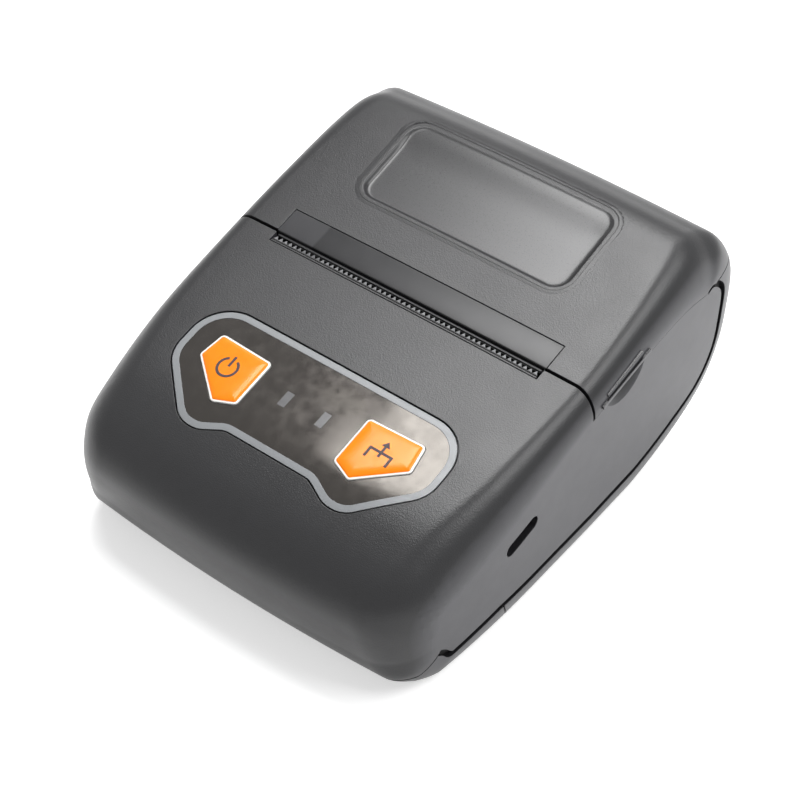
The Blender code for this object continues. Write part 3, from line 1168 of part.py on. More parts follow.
def build_small_parts():
    """Hinge pins, feet and case screws."""
    pins = []
    for side in (-1, 1):
        start, end = KNUCKLE_INNER + GAP / 2, INNER_HALF - 4 * GAP
        pins.append(rod("pin", HINGE, PIN_RADIUS, *sorted((side * start, side * end)),
                        segments=SMALL_SEGMENTS))
    finish_set(pins, "hinge_pin", "steel")
    for y, name in ((FOOT_BACK_Y, "rear_foot"), (FOOT_FRONT_Y, "front_foot")):
        feet = [rod("foot", (x, y), FOOT_RADIUS, 0, FOOT_HEIGHT + FOOT_SINK, LEVEL) for x in (-FOOT_X, FOOT_X)]
        finish_set(feet, name, "rubber")
    screws = []
    for x, y in on_both_sides(((POST_X, POST_FRONT_Y), (POST_X, POST_BACK_Y))):
        low = FOOT_HEIGHT + GAP
        head = upright("screw_head", x, y, SCREW_HEAD_RADIUS, low, low + SCREW_HEAD)
        screws.append(join(head, upright("screw_thread", x, y, SCREW_RADIUS, low + SCREW_HEAD / 2, low + SCREW_HEAD
                                         + SCREW_LENGTH + WALL)))
    finish_set(screws, "case_screw", "steel")


build_upper_housing()
build_cover()
build_base()
build_battery()
build_panel()
build_board()
build_gears()
build_platen()
build_frame(*build_head())
build_paper_path()
build_small_parts()
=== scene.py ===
"""Looks of the pocket receipt printer: fine case shells, key panel, finishes, stage and camera.

Everything is in metres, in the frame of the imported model: +X to the printer's right, +Y to its
back, +Z up. The case form is the one the solids have, drawn with more points.
"""
import json
import math
from contextlib import contextmanager

import bmesh
import bpy
from mathutils import Matrix, Vector
from mathutils.bvhtree import BVHTree

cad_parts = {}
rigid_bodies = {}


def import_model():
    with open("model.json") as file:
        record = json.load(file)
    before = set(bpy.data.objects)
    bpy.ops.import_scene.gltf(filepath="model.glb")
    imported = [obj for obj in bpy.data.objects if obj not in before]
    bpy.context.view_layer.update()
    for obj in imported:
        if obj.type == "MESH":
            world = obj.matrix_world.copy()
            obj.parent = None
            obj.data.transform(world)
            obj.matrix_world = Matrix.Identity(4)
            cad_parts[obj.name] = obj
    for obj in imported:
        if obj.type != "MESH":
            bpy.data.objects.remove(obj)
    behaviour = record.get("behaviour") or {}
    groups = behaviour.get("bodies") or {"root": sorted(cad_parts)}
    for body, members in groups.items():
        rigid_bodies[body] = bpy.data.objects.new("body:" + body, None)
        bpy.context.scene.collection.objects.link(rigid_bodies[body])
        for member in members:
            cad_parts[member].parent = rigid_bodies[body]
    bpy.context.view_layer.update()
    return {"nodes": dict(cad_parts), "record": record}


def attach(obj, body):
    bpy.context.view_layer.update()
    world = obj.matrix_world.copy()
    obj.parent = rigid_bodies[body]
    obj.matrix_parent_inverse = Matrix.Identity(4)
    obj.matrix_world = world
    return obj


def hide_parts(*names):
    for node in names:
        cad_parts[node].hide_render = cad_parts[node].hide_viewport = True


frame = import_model()

MM = 0.001
DEG = math.pi / 180

# Case
BODY_WIDTH = 79.5 * MM
BODY_LENGTH = 99.5 * MM
BODY_HEIGHT = 46.1 * MM
FOOT_HEIGHT = 0.6 * MM
WALL = 2.0 * MM
FLAT_LEAD = 6.0 * MM
HALF = BODY_WIDTH / 2
INNER_HALF = HALF - WALL
FLOOR_Z = FOOT_HEIGHT + WALL

# Clearances, and how far helper solids run past what they cut
GAP = 0.3 * MM
SEAM = 0.35 * MM
COVER_GAP = 0.12 * MM
FRONT_SEAM = 0.6 * MM
CHEEK_GAP = 0.06 * MM
SIDE_GROOVE = 1.25 * MM
TONGUE = 1.0 * MM
RUNNING_GAP = 0.4 * MM
OVERRUN = 4.0 * MM
REACH = HALF + OVERRUN
FAR = BODY_LENGTH

# Distances at which points become one, and the smallest corner radius of a loop
MERGE = GAP / 100
WELD = 1e-6
CUT_SNAP = 1e-7
LEAST_CORNER = 0.02 * MM

# Steps in a rounded corner, an arc and a bar along the slot, and the strip width of bent pieces
CORNER_STEPS = 10
STRIP_CORNER_STEPS = 4
SMALL_CORNER_STEPS = 3
ARC_STEPS = 8
SWEEP_STEPS = 30
BEND_PITCH = 2.0 * MM

# Angle between faces from which their edge stays sharp
SHARP_ANGLE = 30 * DEG
DOME_ANGLE = 50 * DEG
DISH_ANGLE = 60 * DEG

# Side outline from the front edge of the base over the top to the back. Each row holds the shares
# of length and height of the middle line, those of the flat cheek's edge beside it, the crown (how
# far the skin has sunk towards the cheek's edge where the rounding starts) and the rounding's
# width, both as shares of the distance between the two lines.
OUTLINE_SHARES = (
    (-0.376, 0.000, -0.350, 0.112, 0.06, 0.42), (-0.423, 0.028, -0.370, 0.153, 0.08, 0.42),
    (-0.465, 0.082, -0.388, 0.190, 0.11, 0.60), (-0.484, 0.178, -0.391, 0.236, 0.12, 0.86),
    (-0.500, 0.324, -0.388, 0.295, 0.12, 0.86), (-0.495, 0.419, -0.380, 0.342, 0.10, 0.86),
    (-0.460, 0.516, -0.370, 0.387, 0.08, 0.86), (-0.367, 0.619, -0.320, 0.422, 0.05, 0.83),
    (-0.214, 0.707, -0.189, 0.533, 0.05, 0.72), (0.021, 0.811, 0.025, 0.682, 0.06, 0.72),
    (0.186, 0.902, 0.198, 0.758, 0.06, 0.72), (0.288, 0.963, 0.292, 0.782, 0.06, 0.72),
    (0.364, 0.998, 0.341, 0.776, 0.06, 0.72), (0.412, 0.967, 0.367, 0.768, 0.07, 0.68),
    (0.454, 0.916, 0.390, 0.785, 0.07, 0.63), (0.494, 0.767, 0.425, 0.720, 0.07, 0.61),
    (0.500, 0.565, 0.430, 0.591, 0.07, 0.61), (0.483, 0.361, 0.420, 0.419, 0.07, 0.61),
    (0.423, 0.177, 0.378, 0.290, 0.05, 0.48), (0.316, 0.062, 0.290, 0.206, 0.02, 0.42),
    (0.183, 0.000, 0.174, 0.145, 0.00, 0.42),
)
# The flat base, which closes the outline and isn't smoothed, in rows of the same kind
BASE_SHARES = ((0.043, 0.000, 0.043, 0.132, 0.00, 0.42), (-0.229, 0.000, -0.229, 0.132, 0.00, 0.42))
NOSE_TAPER = 2.1 * MM
TAPER_FROM = -0.129 * BODY_LENGTH
TAPER_TO = -0.430 * BODY_LENGTH
TAPER_STEPS = 20
CROWN_STEPS = 6
SPAN_STEPS = 10
OUTER_EDGE_STEPS = 14
INNER_EDGE_STEPS = 6
SEARCH_STEPS = 12
ROUND_SEGMENTS = 64
SMALL_SEGMENTS = 32

# Skin normals: how near to the skin, and how well along it, a face must lie to take them
SKIN_REACH = 0.02 * MM
SKIN_ALONG = 0.9

# Cover, its front seam and its hinge
SEAM_Y = 0.0214 * BODY_LENGTH
COVER_LOW = 0.5640 * BODY_HEIGHT
HINGE_HEIGHT = 0.3796 * BODY_HEIGHT
BARREL_RADIUS = 3.0 * MM
BARREL_WALL = 1.4 * MM
PIN_RADIUS = 1.2 * MM
KNUCKLE_INNER = 0.3874 * BODY_WIDTH
REAR_PANEL_HALF = 0.4151 * BODY_WIDTH

# Recess in the cover. The profile's rows hold how far its wall has moved outward, in mm, and its
# share of the depth; the floor's own material starts at FLOOR_ROW.
RECESS_HALF = 0.2855 * BODY_WIDTH
RECESS_MID_Y = 0.2533 * BODY_LENGTH
RECESS_LENGTH = 19.2 * MM
RECESS_CORNER = 3.6 * MM
RECESS_DEPTH = 0.8 * MM
DISH_RIM = 0.9 * MM
DISH_LAP = 0.8 * MM
LAP_RISE = 0.006 * MM
LAP_SHARES = (1.35, 0.75, 0.5, 0.3, 0.18, 0.09, 0.03)
DISH_PROFILE = ((0.0, 0.01), (-0.10, 0.05), (-0.22, 0.14), (-0.36, 0.30), (-0.50, 0.50),
                (-0.64, 0.70), (-0.79, 0.86), (-0.95, 0.955), (-1.15, 0.99), (-1.5, 1.0),
                (-2.3, 1.0), (-3.2, 1.0))
FLOOR_ROW = 4
FLOOR_SHARES = (0.3, 0.6, 0.8, 0.93, 1.0)
FLOOR_ROUND = 4.0 * MM
FLOOR_RISE = 0.8
RISE_FROM = 1.0 * MM
DISH_ARC = 12
DISH_PARTS = 16

# Finger ridges on the cover and scoops in the cheeks
GRIP_SHARES = (((0.044, 0.728), (0.185, 0.794)), ((0.061, 0.757), (0.164, 0.813)))
GRIP_ROOT = 1.6 * MM
GRIP_HALF = 0.34 * MM
GRIP_REACH = 0.32 * MM
GRIP_DROP = 0.35 * MM
GRIP_STEP = 0.3 * MM
SCOOP_RADIUS = 20.0 * MM
SCOOP_SINK = 1.05 * MM
SCOOP_Y = 0.1085 * BODY_LENGTH
SCOOP_Z = 0.7961 * BODY_HEIGHT
SCOOP_REACH = 0.1 * MM

# Paper exit, measured along the top skin from the seam. A section's rows hold the distance along
# the skin, the height over it and the corner's radius.
SLOT_HALF = 0.3698 * BODY_WIDTH
SLOT_WIDTH = 1.9 * MM
SLOT_FRONT = -2.6 * MM
WINDOW_DEPTH = 5.0 * MM
WINDOW_THICKNESS = 1.3 * MM
WINDOW_BED = 1.3 * MM
STRIP_HALF = 29.45 * MM
STRIP_DEPTH = 5.5 * MM
STRIP_RISE = 0.02 * MM
STRIP_GAP = 0.12 * MM
STRIP_SECTION = ((0, -WINDOW_THICKNESS, 0.1 * MM), (STRIP_DEPTH, -WINDOW_THICKNESS, 0.1 * MM),
                 (STRIP_DEPTH, STRIP_RISE, 0.14 * MM), (0, STRIP_RISE, 0.22 * MM))
LEDGE_FRONT = -0.75 * MM
LEDGE_BACK = -0.42 * MM
LEDGE_LOW = -1.1 * MM
LEDGE_HIGH = -0.32 * MM
LEDGE_SECTION = ((LEDGE_FRONT, LEDGE_LOW, 0.05 * MM), (LEDGE_BACK, LEDGE_LOW, 0.05 * MM),
                 (LEDGE_BACK, LEDGE_HIGH, 0.05 * MM), (LEDGE_FRONT, LEDGE_HIGH, 0.1 * MM))
WEB_FRONT = -0.6 * MM
WEB_HIGH = -0.8 * MM
LIP_FRONT = -2.47 * MM
LIP_BACK = -2.10 * MM
LIP_SINK = 0.06 * MM
LIP_SECTION = ((LIP_FRONT, -WALL, 0.04 * MM), (LIP_BACK, -WALL, 0.04 * MM),
               (LIP_BACK, -LIP_SINK, 0.08 * MM), (LIP_FRONT, -LIP_SINK, 0.08 * MM))
TOOTH_COUNT = 54
TOOTH_ROOM = 0.14 * MM
TOOTH_TIP = -1.08 * MM
TOOTH_LIFT = 0.01 * MM
TEAR_BAR_HALF = 0.3648 * BODY_WIDTH
TEAR_BAR_DEPTH = 4.0 * MM
TEAR_BAR_THICKNESS = 0.5 * MM
TEAR_BAR_SINK = 1.2 * MM
BLADE_FRONT = -2.0 * MM
BLADE_BACK = -1.75 * MM
BLADE_SINK = 0.12 * MM
BLADE_EDGE = 0.2 * MM

# Front seam, battery door and battery bay
LIP_SEAM_Z = 5.1 * MM
LIP_RAMP_Y = -0.3940 * BODY_LENGTH
LIP_RAMP_RISE = 5.0 * MM
DOOR_BACK_Y = -0.1950 * BODY_LENGTH
DOOR_LEAN = 0.385
DOOR_HEIGHT = 0.2603 * BODY_HEIGHT
DOOR_TONGUE = 3.0 * MM
DOOR_TONGUE_WIDTH = 14.0 * MM
BATTERY_HEIGHT = 0.2082 * BODY_HEIGHT
BATTERY_MID_Y = -0.3176 * BODY_LENGTH
BATTERY_BASE = 3.3 * MM
BAY_WALL = 1.4 * MM
BAY_PLAY = 0.6 * MM
BAY_LEDGE = 1.6 * MM
BAY_CEILING = BATTERY_BASE + BATTERY_HEIGHT + BAY_PLAY + BAY_WALL

# Key panel, measured along the skin from its middle. The right half's corners hold the distance
# across, the distance along and the corner's radius, in mm.
PANEL_MID_Y = -0.2754 * BODY_LENGTH
PANEL_BACK = 11.4 * MM
PANEL_THICKNESS = 0.6 * MM
PANEL_SINK = 0.15 * MM
PANEL_RIGHT = ((9.2, -8.5, 4.0), (13.9, -10.8, 5.5), (17.8, -10.8, 5.5), (28.1, -0.9, 6.5),
               (28.1, 12.15, 7.5))
PANEL_LINE = [(a * MM, b * MM, r * MM) for a, b, r in (
    *PANEL_RIGHT, *((-a, b, r) for a, b, r in reversed(PANEL_RIGHT)))]
RIM_WIDTH = 1.25 * MM
RIM_SINK = 0.1 * MM
FILM_SINK = 0.16 * MM
BED_GAP = 0.3 * MM
LAMP_X = 4.05 * MM
LAMP_HALF = 0.75 * MM
LAMP_FRONT = 0.2 * MM
LAMP_BACK = 3.3 * MM

# Keys. The profile's rows hold how far a key's wall has moved outward and its height, in mm; its
# first rows are the white edge.
KEY_CORNER = 0.9 * MM
KEY_CORNERS = ((0.1333 * BODY_WIDTH, -3.7 * MM), (0.1881 * BODY_WIDTH, -5.4 * MM),
               (0.2906 * BODY_WIDTH, 1.2 * MM), (0.2792 * BODY_WIDTH, 6.7 * MM),
               (0.1333 * BODY_WIDTH, 6.2 * MM))
KEY_PROFILE = ((0.0, -2.6), (0.0, -0.05), (0.0, 0.04), (-0.03, 0.09), (-0.09, 0.12),
               (-0.22, 0.135), (-0.36, 0.14), (-0.40, 0.16), (-0.48, 0.22), (-0.60, 0.28),
               (-0.78, 0.34), (-1.0, 0.385), (-1.3, 0.42), (-1.7, 0.445), (-2.2, 0.46),
               (-2.8, 0.465))
WHITE_ROWS = 6

# Signs on the keys
SIGN_X = 16.7 * MM
SIGN_Y = 1.4 * MM
SIGN_ROOT = 0.08 * MM
SIGN_RISE = 0.015 * MM
SIGN_PITCH = 0.5 * MM
STROKE = 0.5 * MM
RING_RADIUS = 2.15 * MM
RING_START = 118
RING_END = 422
RING_STEPS = 40
POWER_BAR = (0.2 * MM, 2.5 * MM)
FEED_LOW = SIGN_Y - 1.75 * MM
FEED_HIGH = SIGN_Y + 0.45 * MM
FEED_HALF = 2.4 * MM
FEED_TAIL = 1.0 * MM
ARROW_HALF = 0.85 * MM
ARROW_TIP = 2.1 * MM

# Socket and screw bosses under the key panel
BOARD_DEPTH = 0.2082 * BODY_HEIGHT
BOARD_THICKNESS = 1.6 * MM
USB_ALONG = 6.7 * MM
USB_MOUTH_WIDTH = 8.3 * MM
USB_MOUTH_HEIGHT = 2.6 * MM
USB_WALL = 0.35 * MM
BOSS_RADIUS = 2.6 * MM
BOSS_X = HALF - 13.35 * MM
BOSS_BACK = 11.0 * MM
BOSS_FRONT = -8.5 * MM
SCREW_HOLE = 0.9 * MM + GAP
SCREW_HEAD_RADIUS = 1.9 * MM
SCREW_HEAD = 1.2 * MM
POST_X = 0.4264 * BODY_WIDTH
POST_FRONT_Y = -0.1568 * BODY_LENGTH
POST_BACK_Y = 0.1528 * BODY_LENGTH
POST_TOP = 13.0 * MM
SEAT_HEIGHT = 1.6 * MM

# Paper roll and platen
ROLL_Y = 0.2633 * BODY_LENGTH
ROLL_Z = 0.5098 * BODY_HEIGHT
BIN_RADIUS = 0.1729 * BODY_LENGTH
BIN_WALL = 1.2 * MM
BIN_RIB_HALF = 0.2516 * BODY_WIDTH
PLATEN_RADIUS = 0.0868 * BODY_HEIGHT
PLATEN_HALF = 0.3572 * BODY_WIDTH
PLATEN_SINK = 0.1822 * BODY_HEIGHT
BUSH_RADIUS = 2.6 * MM
ARM_THICKNESS = 1.4 * MM
ARM_RIM = 1.3 * MM
ARM_ARC = (20, -180)
SIDE_PLATE = 1.1 * MM
ARM_HALF = PLATEN_HALF + GAP + SIDE_PLATE + GAP
GEAR_HALF = ARM_HALF + ARM_THICKNESS + GAP

# Feet
FOOT_RADIUS = 3.6 * MM
FOOT_X = 0.3396 * BODY_WIDTH
FOOT_BACK_Y = 0.1327 * BODY_LENGTH
FOOT_FRONT_Y = -0.3146 * BODY_LENGTH
FOOT_SINK = 0.6 * MM

# Case plastic: its grains, how they drift, features per millimetre, and where its upright sides
# turn smoother and take a painted sheen (a paler base colour for the light they catch), by how much
# of the normal points sideways
BLACK = (0.012, 0.012, 0.0135)
MICRON = 1e-6
GRAIN_SCALE = 4.0
FINE_SCALE = 6.5
FINE_SHARE = 0.35
DRIFT_SCALE = 2.2
DRIFT = 0.22
SMOOTHER = (0.6, 0.95)
SMOOTH_SHARE = 0.15
SHEEN_FACING = (0.82, 1.0)
CASE_GLOSS = 0.44
BEVEL_SAMPLES = 6

# Radius by which a material rounds off its edges
CASE_EDGE = 0.18 * MM
PLAIN_EDGE = 0.12 * MM
SMOKED_EDGE = 0.15 * MM
FILM_EDGE = 0.08 * MM
TOOTH_EDGE = 0.03 * MM

# Where the strip's painted shade of the slot beneath gives way to its paler left end, and how deep
# a scoop's painted shade is darkest, in mm
SLOT_SHADE_END = (-21.6, -21.1)
SCOOP_SHADE_DEPTH = 0.55

# Stage. Each light has a name, a place, a size, a radiance and the point it faces. The camera's
# place and axes were fitted to the edges in the photo.
FLOOR_SIZE = 3.0
FLOOR_DROP = 0.05 * MM
FLOOR_GLOW = 0.55
SIDE_LEVEL = 0.22
TOP_LEVEL = 0.45
WHITE = (1, 1, 1, 1)
LIGHTS = (
    ("key_light", (-0.26, 0.30, 1.0), (0.40, 0.50), 13.8, (-0.26, 0.30, 0)),
    ("right_light", (0.55, 0.25, 0.8), (0.5, 0.5), 6.5, (0.25, 0.15, 0)),
    ("back_light", (-0.30, 0.90, 1.0), (0.9, 0.55), 2.4, (0, 0, 0)),
)
CAMERA_SPOT = (0.1636, -0.2085, 0.2738)
CAMERA_RIGHT = (0.7871, 0.6168, 0.0)
CAMERA_UP = (-0.4315, 0.5506, 0.7147)
CAMERA_BACK = (0.4408, -0.5625, 0.6995)
SENSOR_WIDTH = 36.0
FOCAL_LENGTH = 92.25
NEAREST = 0.01

# Frame of outlines seen from the side: their first axis runs along the printer's length and their
# second up, and what is extruded runs across it
TO_SIDE = Matrix(((0, 0, 1, 0), (1, 0, 0, 0), (0, 1, 0, 0), (0, 0, 0, 1)))
LEVEL = Matrix.Identity(4)

TOOLS = bpy.data.collections.new("cutters")
bpy.context.scene.collection.children.link(TOOLS)


# Shape helpers

@contextmanager
def editing(mesh):
    """A mesh opened as a bmesh, and written back at the end."""
    bm = bmesh.new()
    bm.from_mesh(mesh)
    yield bm
    bm.to_mesh(mesh)
    bm.free()


def helper(name, mesh):
    """Hidden helper object."""
    thing = bpy.data.objects.new(name, mesh)
    TOOLS.objects.link(thing)
    thing.hide_render = True
    thing.display_type = "WIRE"
    return thing


def solid(bm, name, offset=(0, 0, 0), place=LEVEL):
    """Turn a bmesh, moved by an offset and set into a place, into a solid with outward faces."""
    bmesh.ops.translate(bm, vec=offset, verts=bm.verts)
    bmesh.ops.transform(bm, matrix=place, verts=bm.verts)
    bmesh.ops.recalc_face_normals(bm, faces=bm.faces)
    mesh = bpy.data.meshes.new(name)
    bm.to_mesh(mesh)
    bm.free()
    return helper(name, mesh)


def evaluated(thing):
    """New mesh from an object as its modifiers or its curve make it."""
    bpy.context.view_layer.update()
    graph = bpy.context.evaluated_depsgraph_get()
    return bpy.data.meshes.new_from_object(thing.evaluated_get(graph))


def block(name, low, high, place=LEVEL):
    """Box between two corners, in the frame that place gives."""
    bm = bmesh.new()
    bmesh.ops.create_cube(bm, size=1)
    low, high = Vector(low), Vector(high)
    bmesh.ops.scale(bm, vec=high - low, verts=bm.verts)
    return solid(bm, name, (low + high) / 2, place)


def slab(name, half, low, high, place=LEVEL):
    """Box that reaches as far to the left as to the right; low and high are its other corners."""
    return block(name, (-half, *low), (half, *high), place)


def rod(name, centre, radius, start, end, place=TO_SIDE, segments=ROUND_SEGMENTS):
    """Cylinder from start to end along the third axis; the others give its centre."""
    bm = bmesh.new()
    bmesh.ops.create_cone(bm, cap_ends=True, segments=segments, radius1=radius, radius2=radius,
                          depth=end - start)
    return solid(bm, name, (*centre, (start + end) / 2), place)


def upright(name, x, y, radius, low, high):
    """Vertical cylinder."""
    return rod(name, (x, y), radius, low, high, LEVEL, SMALL_SEGMENTS)


def ball(name, centre, radius):
    """Sphere."""
    bm = bmesh.new()
    bmesh.ops.create_uvsphere(bm, u_segments=2 * ROUND_SEGMENTS, v_segments=2 * ROUND_SEGMENTS,
                              radius=radius)
    return solid(bm, name, centre)


def plate(name, outlines, start, end, place=TO_SIDE):
    """Flat outline with any holes, extruded from start to end along the third axis."""
    curve = bpy.data.curves.new(name, "CURVE")
    curve.dimensions = "2D"
    curve.fill_mode = "BOTH"
    curve.extrude = (end - start) / 2
    for outline in outlines:
        spline = curve.splines.new("POLY")
        spline.points.add(len(outline) - 1)
        for point, (a, b) in zip(spline.points, outline):
            point.co = (a, b, 0, 1)
        spline.use_cyclic_u = True
    guide = bpy.data.objects.new(name + "_outline", curve)
    TOOLS.objects.link(guide)
    mesh = evaluated(guide)
    bpy.data.objects.remove(guide)
    bm = bmesh.new()
    bm.from_mesh(mesh)
    bpy.data.meshes.remove(mesh)
    bmesh.ops.remove_doubles(bm, verts=bm.verts, dist=MERGE)
    return solid(bm, name, (0, 0, (start + end) / 2), place)


def tube(name, centre, radius, bore, low, high, place=LEVEL):
    """Cylinder with a hole along it."""
    return plate(name, [circle(centre, radius), circle(centre, bore)[::-1]], low, high, place)


def ring_mesh(name, loops, closed=True):
    """Solid through loops of points, one after the other; closed puts a face on each end."""
    bm = bmesh.new()
    rings = [[bm.verts.new(p) for p in loop] for loop in loops]
    for one, two in zip(rings, rings[1:]):
        for i in range(len(one)):
            j = (i + 1) % len(one)
            bm.faces.new((one[i], one[j], two[j], two[i]))
    if closed:
        bm.faces.new(rings[0][::-1])
        bm.faces.new(rings[-1])
    return solid(bm, name)


def combine(target, others, operation):
    """Join, cut or keep a solid with others, one after the other, and clean its mesh."""
    for other in others:
        change = target.modifiers.new(other.name, "BOOLEAN")
        change.operation = operation
        change.object = other
        change.solver = "EXACT"
    mesh = evaluated(target)
    target.modifiers.clear()
    old_mesh = target.data
    with editing(mesh) as bm:
        bmesh.ops.remove_doubles(bm, verts=bm.verts, dist=MERGE)
        bmesh.ops.dissolve_degenerate(bm, edges=bm.edges, dist=MERGE)
    target.data = mesh
    bpy.data.meshes.remove(old_mesh)
    return target


def cut(target, *others):
    """Take the other solids out of the target."""
    return combine(target, others, "DIFFERENCE")


def join(target, *others):
    """Join the other solids to the target."""
    return combine(target, others, "UNION")


def keep(target, *others):
    """Keep what the target shares with each of the others."""
    return combine(target, others, "INTERSECT")


def twin(thing, name):
    """Separate copy of a helper solid."""
    return helper(name, thing.data.copy())


def rounded(corners, steps=CORNER_STEPS):
    """Closed outline from (a, b, corner radius) rows, with an arc at each corner."""
    outline = []
    total = len(corners)
    for i, (a, b, radius) in enumerate(corners):
        here = Vector((a, b))
        back = (Vector(corners[i - 1][:2]) - here).normalized()
        ahead = (Vector(corners[(i + 1) % total][:2]) - here).normalized()
        if radius <= 0:
            outline.append((a, b))
            continue
        half = back.angle(ahead) / 2
        centre = here + (back + ahead).normalized() * radius / math.sin(half)
        start = here + back * radius / math.tan(half) - centre
        end = here + ahead * radius / math.tan(half) - centre
        sweep = math.atan2(start.x * end.y - start.y * end.x, start.dot(end))
        for k in range(steps + 1):
            angle = sweep * k / steps
            c, s = math.cos(angle), math.sin(angle)
            outline.append((centre.x + start.x * c - start.y * s,
                            centre.y + start.x * s + start.y * c))
    return outline


def grown(corners, margin):
    """The same corner rows, moved outward by a margin; the rows run anticlockwise."""
    moved = []
    total = len(corners)
    for i, (a, b, radius) in enumerate(corners):
        here = Vector((a, b))
        into = (here - Vector(corners[i - 1][:2])).normalized()
        out = (Vector(corners[(i + 1) % total][:2]) - here).normalized()
        normal_in = Vector((into.y, -into.x))
        normal_out = Vector((out.y, -out.x))
        spot = here + (normal_in + normal_out) * margin / (1 + normal_in.dot(normal_out))
        convex = into.x * out.y - into.y * out.x > 0
        moved.append((spot.x, spot.y, max(radius + (margin if convex else -margin), 0)))
    return moved


def loop_at(corners, margin, steps=CORNER_STEPS):
    """Outline grown by a margin, always with the same number of points."""
    return rounded([(a, b, max(r, LEAST_CORNER)) for a, b, r in grown(corners, margin)], steps)


def divided(loop, arc, parts):
    """Outline whose straight runs between corners of some points each are split into parts."""
    points = []
    for i, (one, two) in enumerate(zip(loop, loop[1:] + loop[:1])):
        points.append(one)
        if i % arc == arc - 1:
            points += [tuple(one[k] + (two[k] - one[k]) * n / parts for k in (0, 1))
                       for n in range(1, parts)]
    return points


def shifted(outline, amount):
    """Closed outline moved outward by an amount; it runs clockwise like the case outline."""
    total = len(outline)
    moved = []
    for i, here in enumerate(outline):
        along = (Vector(outline[(i + 1) % total]) - Vector(outline[i - 1])).normalized()
        moved.append(Vector(here) + Vector((-along.y, along.x)) * amount)
    return moved


def circle(centre, radius, segments=SMALL_SEGMENTS):
    """Round outline."""
    return [step_from(centre, radius, 2 * math.pi * k / segments) for k in range(segments)]


def circle_part(centre, radius, start, end, steps=ARC_STEPS):
    """Points of an arc between two angles in degrees."""
    return [step_from(centre, radius, (start + (end - start) * k / steps) * DEG)
            for k in range(steps + 1)]


def step_from(point, distance, angle):
    """Point at a distance and an angle from another."""
    return (point[0] + distance * math.cos(angle), point[1] + distance * math.sin(angle))


def on_both_sides(*points):
    """The same points and their mirror images across the middle of the printer."""
    return [(side * x, y) for side in (1, -1) for x, y in points]


def span(side, one, two):
    """Two distances from the middle on one side, the lower one first."""
    return sorted((side * one, side * two))


# Outer form of the case

def case_rows(steps):
    """Smoothed rows of the side outline: middle point, cheek point, (crown, rounding) shares."""
    def sized(rows):
        return [Vector((a * BODY_LENGTH, b * BODY_HEIGHT + FOOT_HEIGHT,
                        c * BODY_LENGTH, d * BODY_HEIGHT + FOOT_HEIGHT)) for a, b, c, d, *_ in rows]

    rows = sized(OUTLINE_SHARES)
    lead = Vector((FLAT_LEAD, 0, FLAT_LEAD, 0))
    chain = [rows[0] + lead, *rows, rows[-1] - lead]
    bends = [Vector(row[4:]) for row in OUTLINE_SHARES]
    bends.append(bends[-1])
    smooth = []
    for n, (p0, p1, p2, p3) in enumerate(zip(chain, chain[1:], chain[2:], chain[3:])):
        # One stretch of a centripetal spline, between the middle two of four neighbouring rows
        t1 = math.sqrt((p1 - p0).length)
        t2 = t1 + math.sqrt((p2 - p1).length)
        t3 = t2 + math.sqrt((p3 - p2).length)
        for k in range(steps):
            t = t1 + (t2 - t1) * k / steps
            a1 = p0 * ((t1 - t) / t1) + p1 * (t / t1)
            a2 = p1 * ((t2 - t) / (t2 - t1)) + p2 * ((t - t1) / (t2 - t1))
            a3 = p2 * ((t3 - t) / (t3 - t2)) + p3 * ((t - t2) / (t3 - t2))
            b1 = a1 * ((t2 - t) / t2) + a2 * (t / t2)
            b2 = a2 * ((t3 - t) / (t3 - t1)) + a3 * ((t - t1) / (t3 - t1))
            smooth.append((b1 * ((t2 - t) / (t2 - t1)) + b2 * ((t - t1) / (t2 - t1)),
                           bends[n].lerp(bends[n + 1], k / steps)))
    smooth.append((rows[-1], bends[-1]))
    smooth += zip(sized(BASE_SHARES), [Vector(row[4:]) for row in BASE_SHARES])
    return [(Vector(row[:2]), Vector(row[2:]), bend) for row, bend in smooth]


ROWS = case_rows(SPAN_STEPS)
MIDDLE_LINE = [row[0] for row in ROWS]
CHEEK_LINE = [row[1] for row in ROWS]
BENDS = [row[2] for row in ROWS]
FINE_LINE = [row[0] for row in case_rows(SEARCH_STEPS)]


def narrow(bm):
    """Draw a mesh in towards the middle of the printer along the nose, as the cheeks do."""
    reach = TAPER_FROM - TAPER_TO
    for k in range(TAPER_STEPS):
        geometry = bm.verts[:] + bm.edges[:] + bm.faces[:]
        bmesh.ops.bisect_plane(bm, geom=geometry, plane_no=(0, 1, 0),
                               plane_co=(0, TAPER_FROM - reach * k / TAPER_STEPS, 0))
    for vert in bm.verts:
        share = max((TAPER_FROM - vert.co.y) / reach, 0)
        vert.co.x *= 1 - NOSE_TAPER / HALF * share ** 2
    bmesh.ops.triangulate(bm, faces=bm.faces)


def narrowed(thing):
    """Narrow a helper solid like the cheeks."""
    with editing(thing.data) as bm:
        narrow(bm)
    return thing


